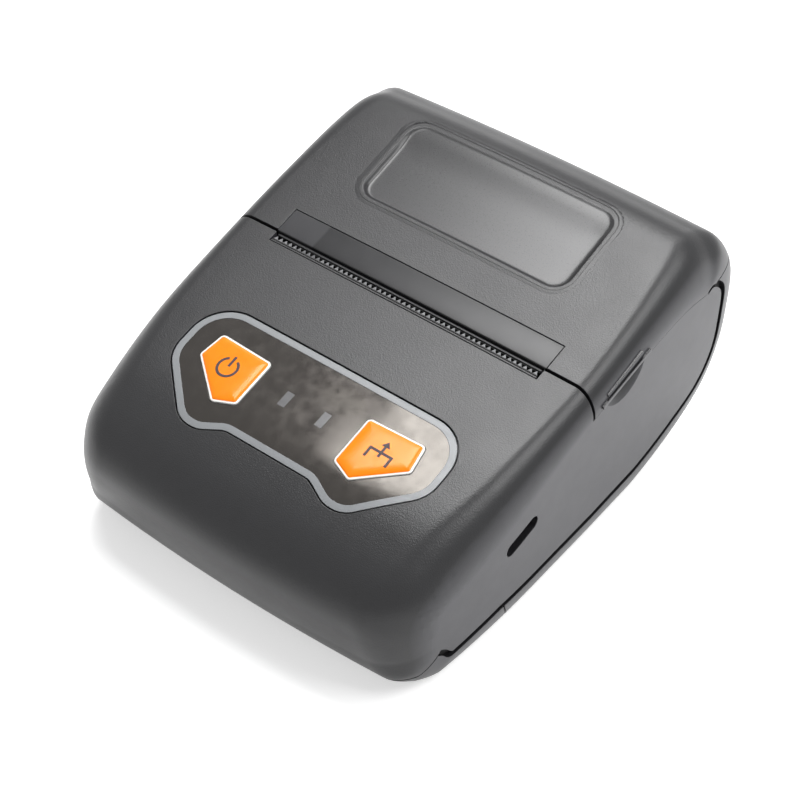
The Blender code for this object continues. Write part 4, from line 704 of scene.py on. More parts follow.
def case_block(name, inset, edge_steps):
    """Solid of the whole case, its skin moved inward by the inset. It is a loft from one cheek
    over the middle line to the other, with rounded edges whose size changes on the way."""
    bm = bmesh.new()
    line = shifted(MIDDLE_LINE, -inset)
    turns = [math.pi / 2 * k / edge_steps for k in range(edge_steps, 0, -1)]
    flats = [k / CROWN_STEPS for k in range(CROWN_STEPS, 0, -1)]
    half = [(angle, 1) for angle in turns] + [(0, flat) for flat in flats]
    left = [(-1, *spot) for spot in half]
    right = [(1, *spot) for spot in half[::-1]]
    rings = []
    for side, angle, flat in (*left, (0, 0, 0), *right):
        ring = []
        for middle, outer, cheek, (crown, width) in zip(line, MIDDLE_LINE, CHEEK_LINE, BENDS):
            reach = (outer - cheek).length
            x = (HALF - width * reach) * flat + (width * reach - inset) * math.sin(angle)
            shoulder = middle + (cheek - outer) * crown * flat ** 2
            spot = shoulder + (cheek - shoulder) * (1 - math.cos(angle))
            ring.append(bm.verts.new((side * x, spot.x, spot.y)))
        rings.append(ring)
    total = len(line)
    for ring, after in zip(rings, rings[1:]):
        for i in range(total):
            j = (i + 1) % total
            bm.faces.new((ring[i], ring[j], after[j], after[i]))
    bm.faces.new(rings[0])
    bm.faces.new(rings[-1])
    narrow(bm)
    return solid(bm, name)


def crossing(points, across, value):
    """Where a line first has a value of one coordinate: its other coordinate there."""
    along = 1 - across
    for a, b in zip(points, points[1:]):
        if min(a[across], b[across]) <= value <= max(a[across], b[across]):
            share = (value - a[across]) / (b[across] - a[across])
            return a[along] + (b[along] - a[along]) * share
    return points[-1][along]


def top_at(y):
    """Height of the top skin over y."""
    return crossing([p for p in FINE_LINE if p.y > BODY_HEIGHT / 2], 0, y)


def back_at(z):
    """Depth (y) of the back skin at height z."""
    return crossing([p for p in FINE_LINE if p.x > BODY_LENGTH / 3], 1, z)


def surface_place(y, reach):
    """Frame on the top skin at y, its second axis along the skin towards the back."""
    rise = top_at(y + reach) - top_at(y - reach)
    height = (top_at(y + reach) + top_at(y - reach)) / 2
    return Matrix.Translation((0, y, height)) @ Matrix.Rotation(math.atan2(rise, 2 * reach), 4, "X")


# Places worked out from the case form

HINGE = (back_at(HINGE_HEIGHT) - BARREL_RADIUS, HINGE_HEIGHT)
# The corner posts' tops follow an arc about the hinge through the cheek's upper back corner
POST_RADIUS = math.dist(HINGE, max(CHEEK_LINE, key=lambda p: p.y + p.x / 2))
PANEL_PLACE = surface_place(PANEL_MID_Y, PANEL_BACK) @ Matrix.Translation((0, 0, -PANEL_SINK))
SLOT_PLACE = surface_place(SEAM_Y, WINDOW_DEPTH)
RECESS_PLACE = surface_place(RECESS_MID_Y, RECESS_LENGTH / 2)
PLATEN = (SEAM_Y + GAP + PLATEN_RADIUS + GAP, top_at(SEAM_Y + PLATEN_RADIUS) - PLATEN_SINK)
USB_DROP = -BOARD_DEPTH - BOARD_THICKNESS - GAP - USB_MOUTH_HEIGHT / 2 - USB_WALL
USB_PLACE = PANEL_PLACE @ Matrix.Translation((0, USB_ALONG, USB_DROP)) @ TO_SIDE
BOSSES = on_both_sides((BOSS_X, BOSS_BACK), (BOSS_X, BOSS_FRONT))
POSTS = on_both_sides((POST_X, POST_FRONT_Y), (POST_X, POST_BACK_Y))
RECESS_CORNERS = [(x, y, RECESS_CORNER) for x, y in (
    (RECESS_HALF, -RECESS_LENGTH / 2), (RECESS_HALF, RECESS_LENGTH / 2),
    (-RECESS_HALF, RECESS_LENGTH / 2), (-RECESS_HALF, -RECESS_LENGTH / 2))]


# Spaces and outlines that shells and pieces share

def core(name, shift):
    """Everything inside the cheek's outline, from side to side."""
    return plate(name, [shifted(CHEEK_LINE, shift)], -REACH, REACH)


def cover_space(name, margin, shift):
    """Space of the cover: behind the front seam, above the cheeks, and down the back between
    the corner posts, whose tops follow an arc about the hinge."""
    top = BODY_HEIGHT + OVERRUN
    upper = slab(name, REACH, (SEAM_Y + margin, COVER_LOW), (FAR, top))
    cut(upper, rod(name + "_arc", HINGE, POST_RADIUS + margin, -REACH - WALL, REACH + WALL,
                   segments=4 * ROUND_SEGMENTS))
    join(upper, slab(name + "_rear", REAR_PANEL_HALF - margin, (HINGE[0] - OVERRUN, HINGE_HEIGHT),
                     (FAR, top - WALL)))
    return cut(upper, core(name + "_core", shift))


def tray_space(name, margin, shift):
    """Space of the base: below the front seam and outside the cheeks, up to the cover behind."""
    lip = LIP_SEAM_Z - margin
    middle = BODY_HEIGHT / 2
    rear = HINGE[0] - 2 * OVERRUN
    outline = [(-FAR, lip), (LIP_RAMP_Y - LIP_RAMP_RISE / 2, lip),
               (LIP_RAMP_Y + LIP_RAMP_RISE / 2, lip + LIP_RAMP_RISE), (0, middle), (rear, middle),
               (rear, FAR), (FAR, FAR), (FAR, -FAR), (-FAR, -FAR)]
    return cut(plate(name, [outline], -REACH, REACH), core(name + "_core", shift))


def door_space(name, margin):
    """Space of the battery door: the front of the base, up to a leaning seam."""
    lean = DOOR_LEAN * (DOOR_HEIGHT - FOOT_HEIGHT)
    back = DOOR_BACK_Y - margin
    outline = [(-FAR, -OVERRUN), (back, -OVERRUN), (back, FOOT_HEIGHT), (back - lean, DOOR_HEIGHT),
               (-FAR, DOOR_HEIGHT)]
    return plate(name, [outline], -REACH - OVERRUN, REACH + OVERRUN)


def front_seam():
    """Wider gap across the top where the cover meets the front, down to the creases."""
    gap = slab("front_seam", REACH, (SEAM_Y - FRONT_SEAM / 2, COVER_LOW),
               (SEAM_Y + FRONT_SEAM / 2, BODY_HEIGHT + OVERRUN))
    return cut(gap, core("front_seam_core", 0))


def cheek_tongue(side):
    """Thin tongue on a cheek's edge that closes the shadow groove from behind."""
    lines = [shifted(CHEEK_LINE, sign * (SIDE_GROOVE / 2 + TONGUE)) for sign in (1, -1)]
    band = plate("tongue", lines, *span(side, INNER_HALF - GAP, HALF - WALL / 2 - GAP / 2))
    end = cut(slab("tongue_end", FAR, (SEAM_Y - OVERRUN, COVER_LOW - OVERRUN), (FAR, FAR)),
              rod("tongue_arc", HINGE, POST_RADIUS - TONGUE, -2 * FAR, 2 * FAR))
    return cut(narrowed(band), end)


def cheek_rebate(side):
    """Room for the tongue in the base."""
    return narrowed(plate("rebate", [shifted(CHEEK_LINE, SIDE_GROOVE / 2 + TONGUE + GAP)],
                          *span(side, INNER_HALF - TONGUE, HALF - WALL / 2 + GAP / 2)))


def key_corners(side):
    """Corner rows of a key, anticlockwise."""
    corners = KEY_CORNERS if side > 0 else [(-x, y) for x, y in reversed(KEY_CORNERS)]
    return [(x, y, KEY_CORNER) for x, y in corners]


def lamp_line(side, margin):
    """Outline of a lamp window."""
    x, half = side * LAMP_X, LAMP_HALF + margin
    low, high = LAMP_FRONT - margin, LAMP_BACK + margin
    return [(x - half, low), (x + half, low), (x + half, high), (x - half, high)]


def usb_corners(margin):
    """Corner rows of the socket's mouth, in its own frame."""
    half_w, half_h = USB_MOUTH_WIDTH / 2 + margin, USB_MOUTH_HEIGHT / 2 + margin
    spots = ((half_w, -half_h), (half_w, half_h), (-half_w, half_h), (-half_w, -half_h))
    return [(a, b, half_h - GAP / 10) for a, b in spots]


# Materials

def new_material(name):
    """Empty node material, its tree and its Principled shader."""
    material = bpy.data.materials.new(name)
    material.use_nodes = True
    return material, material.node_tree, material.node_tree.nodes["Principled BSDF"]


def add(tree, kind, values=None, **settings):
    """Add a node, set its properties and its inputs; an input that is a socket is linked."""
    node = tree.nodes.new(kind)
    for key, value in settings.items():
        setattr(node, key, value)
    for key, value in (values or {}).items():
        if isinstance(value, bpy.types.NodeSocket):
            tree.links.new(value, node.inputs[key])
        else:
            node.inputs[key].default_value = value
    return node


def spot_in_mm(tree, stretch=(1, 1, 1)):
    """Place on the piece in millimetres."""
    spot = add(tree, "ShaderNodeTexCoord").outputs["Object"]
    return add(tree, "ShaderNodeVectorMath", {0: spot, 1: [s / MM for s in stretch]},
               operation="MULTIPLY").outputs[0]


def axis(tree, vector, index):
    """One coordinate of a vector."""
    return add(tree, "ShaderNodeSeparateXYZ", {0: vector}).outputs[index]


def noise(tree, where, scale, detail=2.0):
    """Noise value over the piece, features per millimetre."""
    return add(tree, "ShaderNodeTexNoise", {"Vector": where, "Scale": scale, "Detail": detail,
                                            "Roughness": 0.5}).outputs["Fac"]


def ranged(tree, value, low, high, start=0.0, end=1.0):
    """Map a value from start..end to low..high."""
    return add(tree, "ShaderNodeMapRange", {"Value": value, "From Min": start, "From Max": end,
                                            "To Min": low, "To Max": high}).outputs["Result"]


def sums(tree, one, two, operation="ADD"):
    """Arithmetic on two values."""
    return add(tree, "ShaderNodeMath", {0: one, 1: two}, operation=operation).outputs[0]


def tinted(tree, shader, value, one, two):
    """Base colour that a value takes from one colour or socket to another."""
    one, two = (end if isinstance(end, bpy.types.NodeSocket) else (*end, 1) for end in (one, two))
    mix = add(tree, "ShaderNodeMix", {0: value, 6: one, 7: two}, data_type="RGBA").outputs[2]
    tree.links.new(mix, shader.inputs["Base Color"])
    return mix


def roughened(tree, shader, value, middle, spread, start=0.3, end=0.7):
    """Roughness that a value takes to either side of a middle."""
    rough = ranged(tree, value, middle - spread, middle + spread, start, end)
    tree.links.new(rough, shader.inputs["Roughness"])


def shades(colour, spread):
    """A darker and a lighter shade of a colour."""
    return [c * (1 - spread) for c in colour], [c * (1 + spread) for c in colour]


def bumped(tree, shader, height, depth, edge=0.0):
    """Bump the surface by a height, over edges that are rounded off by a radius."""
    values = {"Height": height, "Distance": depth, "Strength": 1.0}
    if edge:
        bevel = add(tree, "ShaderNodeBevel", {"Radius": edge}, samples=BEVEL_SAMPLES)
        values["Normal"] = bevel.outputs["Normal"]
    tree.links.new(add(tree, "ShaderNodeBump", values).outputs["Normal"], shader.inputs["Normal"])


def case_plastic(name, colour, roughness, pebble, side=1.0):
    """Pebbled black moulding with small rounded grains, smoother on its upright sides; side scales
    their base colour up into a painted sheen.
    """
    material, tree, shader = new_material(name)
    spot = spot_in_mm(tree)
    facing = add(tree, "ShaderNodeTexCoord").outputs["Normal"]
    flank = sums(tree, axis(tree, facing, 0), 0.0, "ABSOLUTE")
    drift = add(tree, "ShaderNodeTexNoise", {"Vector": spot, "Scale": DRIFT_SCALE, "Detail": 1.0})
    moved = add(tree, "ShaderNodeVectorMath", {0: drift.outputs["Color"], 1: (DRIFT,) * 3,
                                               2: spot}, operation="MULTIPLY_ADD")
    cells = add(tree, "ShaderNodeTexVoronoi", {"Vector": moved.outputs[0], "Scale": GRAIN_SCALE,
                                               "Smoothness": 0.5}, feature="SMOOTH_F1")
    fine = sums(tree, noise(tree, spot, FINE_SCALE), FINE_SHARE, "MULTIPLY")
    grains = sums(tree, cells.outputs["Distance"], fine, "SUBTRACT")
    height = sums(tree, grains, ranged(tree, flank, 1.0, SMOOTH_SHARE, *SMOOTHER), "MULTIPLY")
    roughened(tree, shader, noise(tree, spot, 0.16, 3.0), roughness, 0.012, 0.35, 0.65)
    moulded = tinted(tree, shader, noise(tree, spot, 0.35, 4.0), *shades(colour, 0.18))
    # Painted sheen: the upright sides' base colour is multiplied by side, standing in for the light
    # they catch
    painted_sheen = add(tree, "ShaderNodeVectorMath", {0: moulded, 1: (side,) * 3},
                operation="MULTIPLY").outputs[0]
    tinted(tree, shader, ranged(tree, flank, 0.0, 1.0, *SHEEN_FACING), moulded, painted_sheen)
    shader.inputs["Specular IOR Level"].default_value = CASE_GLOSS
    bumped(tree, shader, height, pebble, CASE_EDGE)
    return material


def plain(name, colour, roughness, metallic=0.0, spread=0.12, grain=1.2, depth=4 * MICRON,
          edge=PLAIN_EDGE, stretch=(1, 1, 1), rough_spread=0.05):
    """Moulded, turned or painted surface with fine unevenness in colour, gloss and height."""
    material, tree, shader = new_material(name)
    spot = spot_in_mm(tree, stretch)
    tinted(tree, shader, noise(tree, spot, grain * 0.4, 3.0), *shades(colour, spread))
    roughened(tree, shader, noise(tree, spot, grain, 3.0), roughness, rough_spread)
    shader.inputs["Metallic"].default_value = metallic
    if depth:
        bumped(tree, shader, noise(tree, spot, grain * 4), depth, edge)
    return material


def wavy_film(name, colour, roughness, wave, gloss, sheen):
    """Polished film that is not quite flat, so that reflections swirl."""
    material, tree, shader = new_material(name)
    spot = spot_in_mm(tree)
    tinted(tree, shader, noise(tree, spot, 0.9, 3.0), *shades(colour, 0.1))
    roughened(tree, shader, noise(tree, spot, 0.5, 3.0), roughness, 0.3 * roughness)
    shader.inputs["Specular IOR Level"].default_value = gloss
    shader.inputs["Specular Tint"].default_value = (*sheen, 1)
    bumped(tree, shader, noise(tree, spot, 0.07, 1.0), wave, FILM_EDGE)
    return material


def smoked_plastic():
    """Smoked clear strip, drawn opaque: its colour paints the slot's shade beneath it, and a paler
    tone for the lit moulding at its left.
    """
    material, tree, shader = new_material("smoked_plastic")
    spot = spot_in_mm(tree)
    # Painted shade and light as if seen through: dark over the slot, paler left of the slot's end
    pale = ranged(tree, axis(tree, spot, 0), 1.0, 0.0, *SLOT_SHADE_END)
    tinted(tree, shader, pale, BLACK, (0.035, 0.035, 0.038))
    roughened(tree, shader, noise(tree, spot, 0.4), 0.245, 0.015)
    shader.inputs["Specular IOR Level"].default_value = 0.3
    bumped(tree, shader, noise(tree, spot, 3.0), 1 * MICRON, SMOKED_EDGE)
    return material


def scoop_shade_plastic():
    """Finger scoop: as pale as the cheek's painted sheen at its rim, and darkened towards its depth
    with painted shade.
    """
    material, tree, shader = new_material("scoop_painted_shade")
    spot = spot_in_mm(tree)
    out = sums(tree, axis(tree, spot, 0), 0.0, "ABSOLUTE")
    sunk = ranged(tree, sums(tree, HALF / MM, out, "SUBTRACT"), 0.0, 1.0, 0.0, SCOOP_SHADE_DEPTH)
    # Painted shade: the colour darkens with depth below the cheek's plane
    tinted(tree, shader, sunk, (0.05, 0.05, 0.055), (0.005, 0.005, 0.0055))
    roughened(tree, shader, noise(tree, spot, 0.4), 0.45, 0.03)
    shader.inputs["Specular IOR Level"].default_value = 0.2
    bumped(tree, shader, noise(tree, spot, 4.0), 2 * MICRON)
    return material


def board_surface():
    """Green solder mask with copper tracks showing through."""
    material, tree, shader = new_material("board_green")
    spot = spot_in_mm(tree)
    tracks = add(tree, "ShaderNodeTexVoronoi", {"Vector": spot, "Scale": 0.28},
                 distance="CHEBYCHEV", feature="F1").outputs["Distance"]
    lines = add(tree, "ShaderNodeTexWave", {"Vector": spot, "Scale": 1.4, "Distortion": 0.6})
    mask = ranged(tree, sums(tree, tracks, lines.outputs["Fac"], "MULTIPLY"), 0.0, 1.0, 0.18, 0.24)
    tinted(tree, shader, mask, (0.008, 0.10, 0.04), (0.02, 0.19, 0.08))
    shader.inputs["Roughness"].default_value = 0.34
    bumped(tree, shader, mask, 20 * MICRON)
    return material


# side=4.5 paints the upright cheeks 4.5 times paler: a painted sheen for the light they catch
CASE = case_plastic("case_black", BLACK, 0.35, 20 * MICRON, side=4.5)
INNER_CASE = case_plastic("inner_black", (0.02, 0.02, 0.021), 0.42, 12 * MICRON)
SCOOP_SHADE = scoop_shade_plastic()
RECESS_FLOOR = plain("recess_floor", (0.016, 0.016, 0.0175), 0.28, spread=0.1, grain=6.0, depth=0,
                     rough_spread=0.01)
SMOKED = smoked_plastic()
RIM = plain("rim_grey", (0.21, 0.22, 0.23), 0.34, spread=0.06, grain=1.5, depth=3 * MICRON,
            stretch=(0.12, 1, 1))
FILM = wavy_film("film_black", (0.013, 0.0115, 0.011), 0.15, 190 * MICRON, 0.6, (1.0, 0.93, 0.85))
ORANGE = wavy_film("key_orange", (0.97, 0.235, 0.002), 0.2, 60 * MICRON, 0.35, (1.0, 0.9, 0.7))
WHITE_EDGE = plain("key_edge_white", (0.86, 0.84, 0.82), 0.3, spread=0.03)
PRINT = plain("print_maroon", (0.020, 0.006, 0.009), 0.5)
# Black plastic painted darker than the case: painted shade for the cheek grooves and under the slot
SHADE_BLACK = plain("painted_shade_black", (0.004, 0.004, 0.0045), 0.6)
LENS = plain("lens_grey", (0.10, 0.10, 0.105), 0.2, grain=2.0)
STEEL = plain("steel", (0.58, 0.58, 0.60), 0.30, metallic=1.0, spread=0.08, grain=1.0,
              depth=2 * MICRON, stretch=(0.1, 1, 1))
TEAR_STEEL = plain("tear_steel", (0.13, 0.13, 0.135), 0.48, metallic=0.25, spread=0.1, grain=2.0,
                   depth=2 * MICRON, edge=TOOTH_EDGE)
ALUMINIUM = plain("aluminium", (0.66, 0.67, 0.68), 0.38, metallic=1.0, spread=0.06, grain=1.5,
                  depth=3 * MICRON, stretch=(0.1, 1, 1))
RUBBER = plain("rubber_black", (0.018, 0.018, 0.018), 0.78, grain=3.0, depth=14 * MICRON)
CERAMIC = plain("ceramic", (0.74, 0.71, 0.64), 0.28, spread=0.05)
NATURAL = plain("natural_white", (0.68, 0.68, 0.65), 0.42, spread=0.05)
BOARD = board_surface()
CHIP = plain("chip_black", (0.018, 0.018, 0.02), 0.48, grain=5.0, depth=6 * MICRON)
WRAP = plain("wrap_blue", (0.015, 0.06, 0.26), 0.32, grain=0.5, depth=30 * MICRON)
BRASS = plain("brass", (0.70, 0.50, 0.20), 0.28, metallic=1.0, spread=0.1)

SLOT_LOOKS = {
    "case_plastic": INNER_CASE, "window_plastic": SMOKED, "panel_gloss": FILM,
    "key_orange": ORANGE, "lamp_lens": LENS, "steel": STEEL, "heat_sink_metal": ALUMINIUM,
    "rubber": RUBBER, "head_ceramic": CERAMIC, "gear_plastic": NATURAL, "board": BOARD,
    "chip": CHIP, "battery_wrap": WRAP, "brass": BRASS,
}
SLOTS = {row["node"]: row["material_slot"] for row in frame["record"]["subparts"]}
for name, node in frame["nodes"].items():
    node.data.materials.clear()
    node.data.materials.append(SLOT_LOOKS[SLOTS[name]])
frame["nodes"]["tear_bar"].data.materials[0] = TEAR_STEEL


# Skin of the case, and pieces that follow it

SKIN_MESH = case_block("skin", 0, OUTER_EDGE_STEPS).data
SKIN_MESH.shade_smooth()
SKIN_TREE = BVHTree.FromPolygons([v.co for v in SKIN_MESH.vertices],
                                 [p.vertices for p in SKIN_MESH.polygons])
SHELL = cut(case_block("case_outer", 0, OUTER_EDGE_STEPS),
            case_block("case_inner", WALL, INNER_EDGE_STEPS))


def skin_at(x, y):
    """Height of the case's top skin over a point of the floor."""
    return SKIN_TREE.ray_cast(Vector((x, y, FAR)), Vector((0, 0, -1)))[0].z


def skin_offset(place, a, b):
    """How far the crowned skin lies above a flat place at a point of it."""
    spot = place @ Vector((a, b, 0))
    up = place.to_3x3() @ Vector((0, 0, 1))
    return (skin_at(spot.x, spot.y) - spot.z) * up.z


def laid(thing, place, pitch=BEND_PITCH):
    """Cut a flat piece into strips both ways and bend it over the crowned skin."""
    with editing(thing.data) as bm:
        bmesh.ops.transform(bm, matrix=place.inverted(), verts=bm.verts)
        for along in (0, 1):
            low, high = (pick(v.co[along] for v in bm.verts) for pick in (min, max))
            count = int((high - low) / pitch)
            facing = Vector((along == 0, along == 1, 0))
            for k in range(1, count + 1):
                at = facing * (low + (high - low) * k / (count + 1))
                bmesh.ops.bisect_plane(bm, geom=[*bm.verts, *bm.edges, *bm.faces], plane_co=at,
                                       plane_no=facing, dist=CUT_SNAP)
        for vertex in bm.verts:
            vertex.co.z += skin_offset(place, vertex.co.x, vertex.co.y)
        bmesh.ops.transform(bm, matrix=place, verts=bm.verts)
    return thing


def swept(name, profile, half, steps=SWEEP_STEPS):
    """Bar along the slot with one section, following the crown."""
    loops = []
    for k in range(steps + 1):
        a = half * (2 * k / steps - 1)
        lift = skin_offset(SLOT_PLACE, a, profile[0][0])
        loops.append([SLOT_PLACE @ Vector((a, b, c + lift)) for b, c in profile])
    return ring_mesh(name, loops)


def skin_normal(spot):
    """Normals of the case form nearest to a point, smooth and flat, and how far away it is."""
    near, flat, index, distance = SKIN_TREE.find_nearest(spot)
    corners = [SKIN_MESH.vertices[i] for i in SKIN_MESH.polygons[index].vertices]
    a, b, c = (v.co for v in corners)
    whole = (b - a).cross(c - a)
    size = whole.length_squared
    if size == 0:
        return flat, flat, distance
    shares = [(c - b).cross(near - b).dot(whole) / size, (a - c).cross(near - c).dot(whole) / size]
    shares.append(1 - sum(shares))
    smooth = sum((v.normal * s for v, s in zip(corners, shares)), Vector()).normalized()
    return smooth, flat, distance


def smooth_skin(thing, reach):
    """Give the faces that lie on or near the case's skin the smooth normals of the whole form."""
    mesh = thing.data
    normals = [Vector(n.vector) for n in mesh.corner_normals]
    for face in mesh.polygons:
        _, flat, distance = skin_normal(face.center)
        if distance > reach or face.normal.dot(flat) < SKIN_ALONG:
            continue
        for corner in face.loop_indices:
            normals[corner] = skin_normal(mesh.vertices[mesh.loops[corner].vertex_index].co)[0]
    mesh.normals_split_custom_set(normals)


def dress(thing, name, body, looks, stands_for=(), smooth=SHARP_ANGLE,
          on_skin=0.0):
    """Name a finished piece, colour it, and let it ride on its body. The faces that lie nearer to
    the case's skin than on_skin take its smooth normals."""
    TOOLS.objects.unlink(thing)
    bpy.context.scene.collection.objects.link(thing)
    thing.hide_render = False
    thing.display_type = "TEXTURED"
    thing.name = name
    thing.data.name = name
    with editing(thing.data) as bm:
        bmesh.ops.recalc_face_normals(bm, faces=bm.faces)
    for look in looks:
        thing.data.materials.append(look)
    thing.data.shade_smooth()
    thing.data.set_sharp_from_angle(angle=smooth)
    if on_skin:
        smooth_skin(thing, on_skin)
    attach(thing, body)
    if stands_for:
        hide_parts(*stands_for)


def dress_shell(thing, name, body, node, looks=(CASE,)):
    """Dress a shell that stands for one of the solids of the case."""
    dress(thing, name, body, looks, (node,), on_skin=SKIN_REACH)


# Case shells

def build_upper_housing():
    """Top front, nose and both cheeks in one shell, with the slot, the panel bed and bosses."""
    housing = twin(SHELL, "housing")
    cut(housing, tray_space("base_cut", 0, -SIDE_GROOVE / 2),
        cover_space("cover_cut", -COVER_GAP / 2, 0))
    for spot in BOSSES:
        join(housing, tube("boss", spot, BOSS_RADIUS, SCREW_HOLE, GAP - BOARD_DEPTH,
                           -WALL * 3 / 4, PANEL_PLACE))
    for x, y in POSTS:
        post = tube("post", (x, y), BOSS_RADIUS, SCREW_HOLE, FLOOR_Z + SEAT_HEIGHT + GAP, POST_TOP)
        low, high = sorted((x, math.copysign(INNER_HALF + WALL / 2, x)))
        web = block("web", (low, y - WALL / 2, FLOOR_Z + 3 * WALL),
                    (high, y + WALL / 2, POST_TOP - WALL / 2))
        join(housing, web, post)
        cut(housing, upright("post_hole", x, y, SCREW_HOLE, 0, POST_TOP + WALL))
    for side in (-1, 1):
        low, high = span(side, INNER_HALF - BAY_LEDGE, INNER_HALF + WALL / 2)
        ledge = block("bay_ledge", (low, BATTERY_MID_Y - OVERRUN, BAY_CEILING - GAP - 2 * BAY_WALL),
                      (high, BATTERY_MID_Y + 2 * OVERRUN, BAY_CEILING - GAP - BAY_WALL))
        join(housing, narrowed(ledge))

    bed = plate("panel_bed", [rounded(grown(PANEL_LINE, BED_GAP))], -PANEL_THICKNESS - GAP, OVERRUN,
                PANEL_PLACE)
    slot = slab("slot", SLOT_HALF, (SLOT_FRONT, -OVERRUN), (SLOT_WIDTH, OVERRUN), SLOT_PLACE)
    bar_bed = slab("bar_bed", TEAR_BAR_HALF + GAP, (-SLOT_WIDTH - TEAR_BAR_DEPTH - GAP, -OVERRUN),
                   (0, GAP - TEAR_BAR_SINK), SLOT_PLACE)
    cut(housing, bed, slot, bar_bed)
    for side in (-1, 1):
        key, lamp = rounded(grown(key_corners(side), GAP)), lamp_line(side, GAP)
        cut(housing, plate("key_hole", [key], -OVERRUN, OVERRUN, PANEL_PLACE),
            plate("lamp_hole", [lamp], -OVERRUN, OVERRUN, PANEL_PLACE))
        cut(housing, ball("scoop", (side * (HALF + SCOOP_RADIUS - SCOOP_SINK), SCOOP_Y, SCOOP_Z),
                          SCOOP_RADIUS))
    cut(housing, plate("usb_hole", [rounded(usb_corners(GAP / 2))], INNER_HALF - WALL, HALF + WALL,
                       USB_PLACE))
    cut(housing, front_seam())
    dress_shell(housing, "housing_shell", "case", "upper_housing", (CASE, SCOOP_SHADE))
    # Faces on the scoop take the painted-shade material in slot 1
    for face in housing.data.polygons:
        centre = (math.copysign(HALF + SCOOP_RADIUS - SCOOP_SINK, face.center.x), SCOOP_Y, SCOOP_Z)
        if abs((face.center - Vector(centre)).length - SCOOP_RADIUS) < SCOOP_REACH:
            face.material_index = 1


def build_cover():
    """Paper cover: curved lid with the window bed, platen arms and half of the hinge."""
    cover = keep(twin(SHELL, "cover"), cover_space("cover_keep", COVER_GAP / 2, CHEEK_GAP))
    join(cover, slab("window_bed", ARM_HALF + ARM_THICKNESS,
                     (SEAM, -WINDOW_THICKNESS - GAP - WINDOW_BED),
                     (WINDOW_DEPTH + WALL, -WALL / 2), SLOT_PLACE))
    y, z = PLATEN
    reach = BUSH_RADIUS + GAP + ARM_RIM
    top = top_at(y) - WALL / 2
    arm = [(y - reach, z), (y - reach + SEAM, top - ARM_RIM), (y + 2 * reach, top),
           *circle_part(PLATEN, reach, *ARM_ARC)]
    for side in (-1, 1):
        join(cover, plate("arm", [arm], *span(side, ARM_HALF, ARM_HALF + ARM_THICKNESS)))
        low, high = span(side, KNUCKLE_INNER, REAR_PANEL_HALF - SEAM)
        web = block("knuckle_web", (low, HINGE[0], HINGE_HEIGHT),
                    (high, back_at(HINGE_HEIGHT + WALL) - WALL / 2, HINGE_HEIGHT + OVERRUN))
        join(cover, rod("knuckle", HINGE, BARREL_RADIUS, low, high), web)
    half_ring = rod("barrel", HINGE, BARREL_RADIUS, SEAM - REAR_PANEL_HALF, REAR_PANEL_HALF - SEAM)
    cut(half_ring, rod("barrel_bore", HINGE, BARREL_RADIUS - BARREL_WALL, -FAR, FAR),
        slab("barrel_front", FAR, (0, 0), (HINGE[0] + TONGUE, FAR)))
    join(cover, half_ring)
    window = slab("window_cut", STRIP_HALF + STRIP_GAP, (-OVERRUN, -WINDOW_THICKNESS - GAP),
                  (STRIP_DEPTH + STRIP_GAP / 2, OVERRUN), SLOT_PLACE)
    hole = plate("dish_hole", [rounded(grown(RECESS_CORNERS, DISH_RIM))], -RECESS_DEPTH - WALL,
                 OVERRUN, RECESS_PLACE)
    cut(cover, window, hole, rod("bush_hole", PLATEN, BUSH_RADIUS + GAP, -GEAR_HALF, GEAR_HALF),
        rod("pin_hole", HINGE, PIN_RADIUS + GAP, -FAR, FAR, segments=SMALL_SEGMENTS))
    cut(cover, front_seam())
    dress_shell(cover, "cover_shell", "cover", "paper_cover")


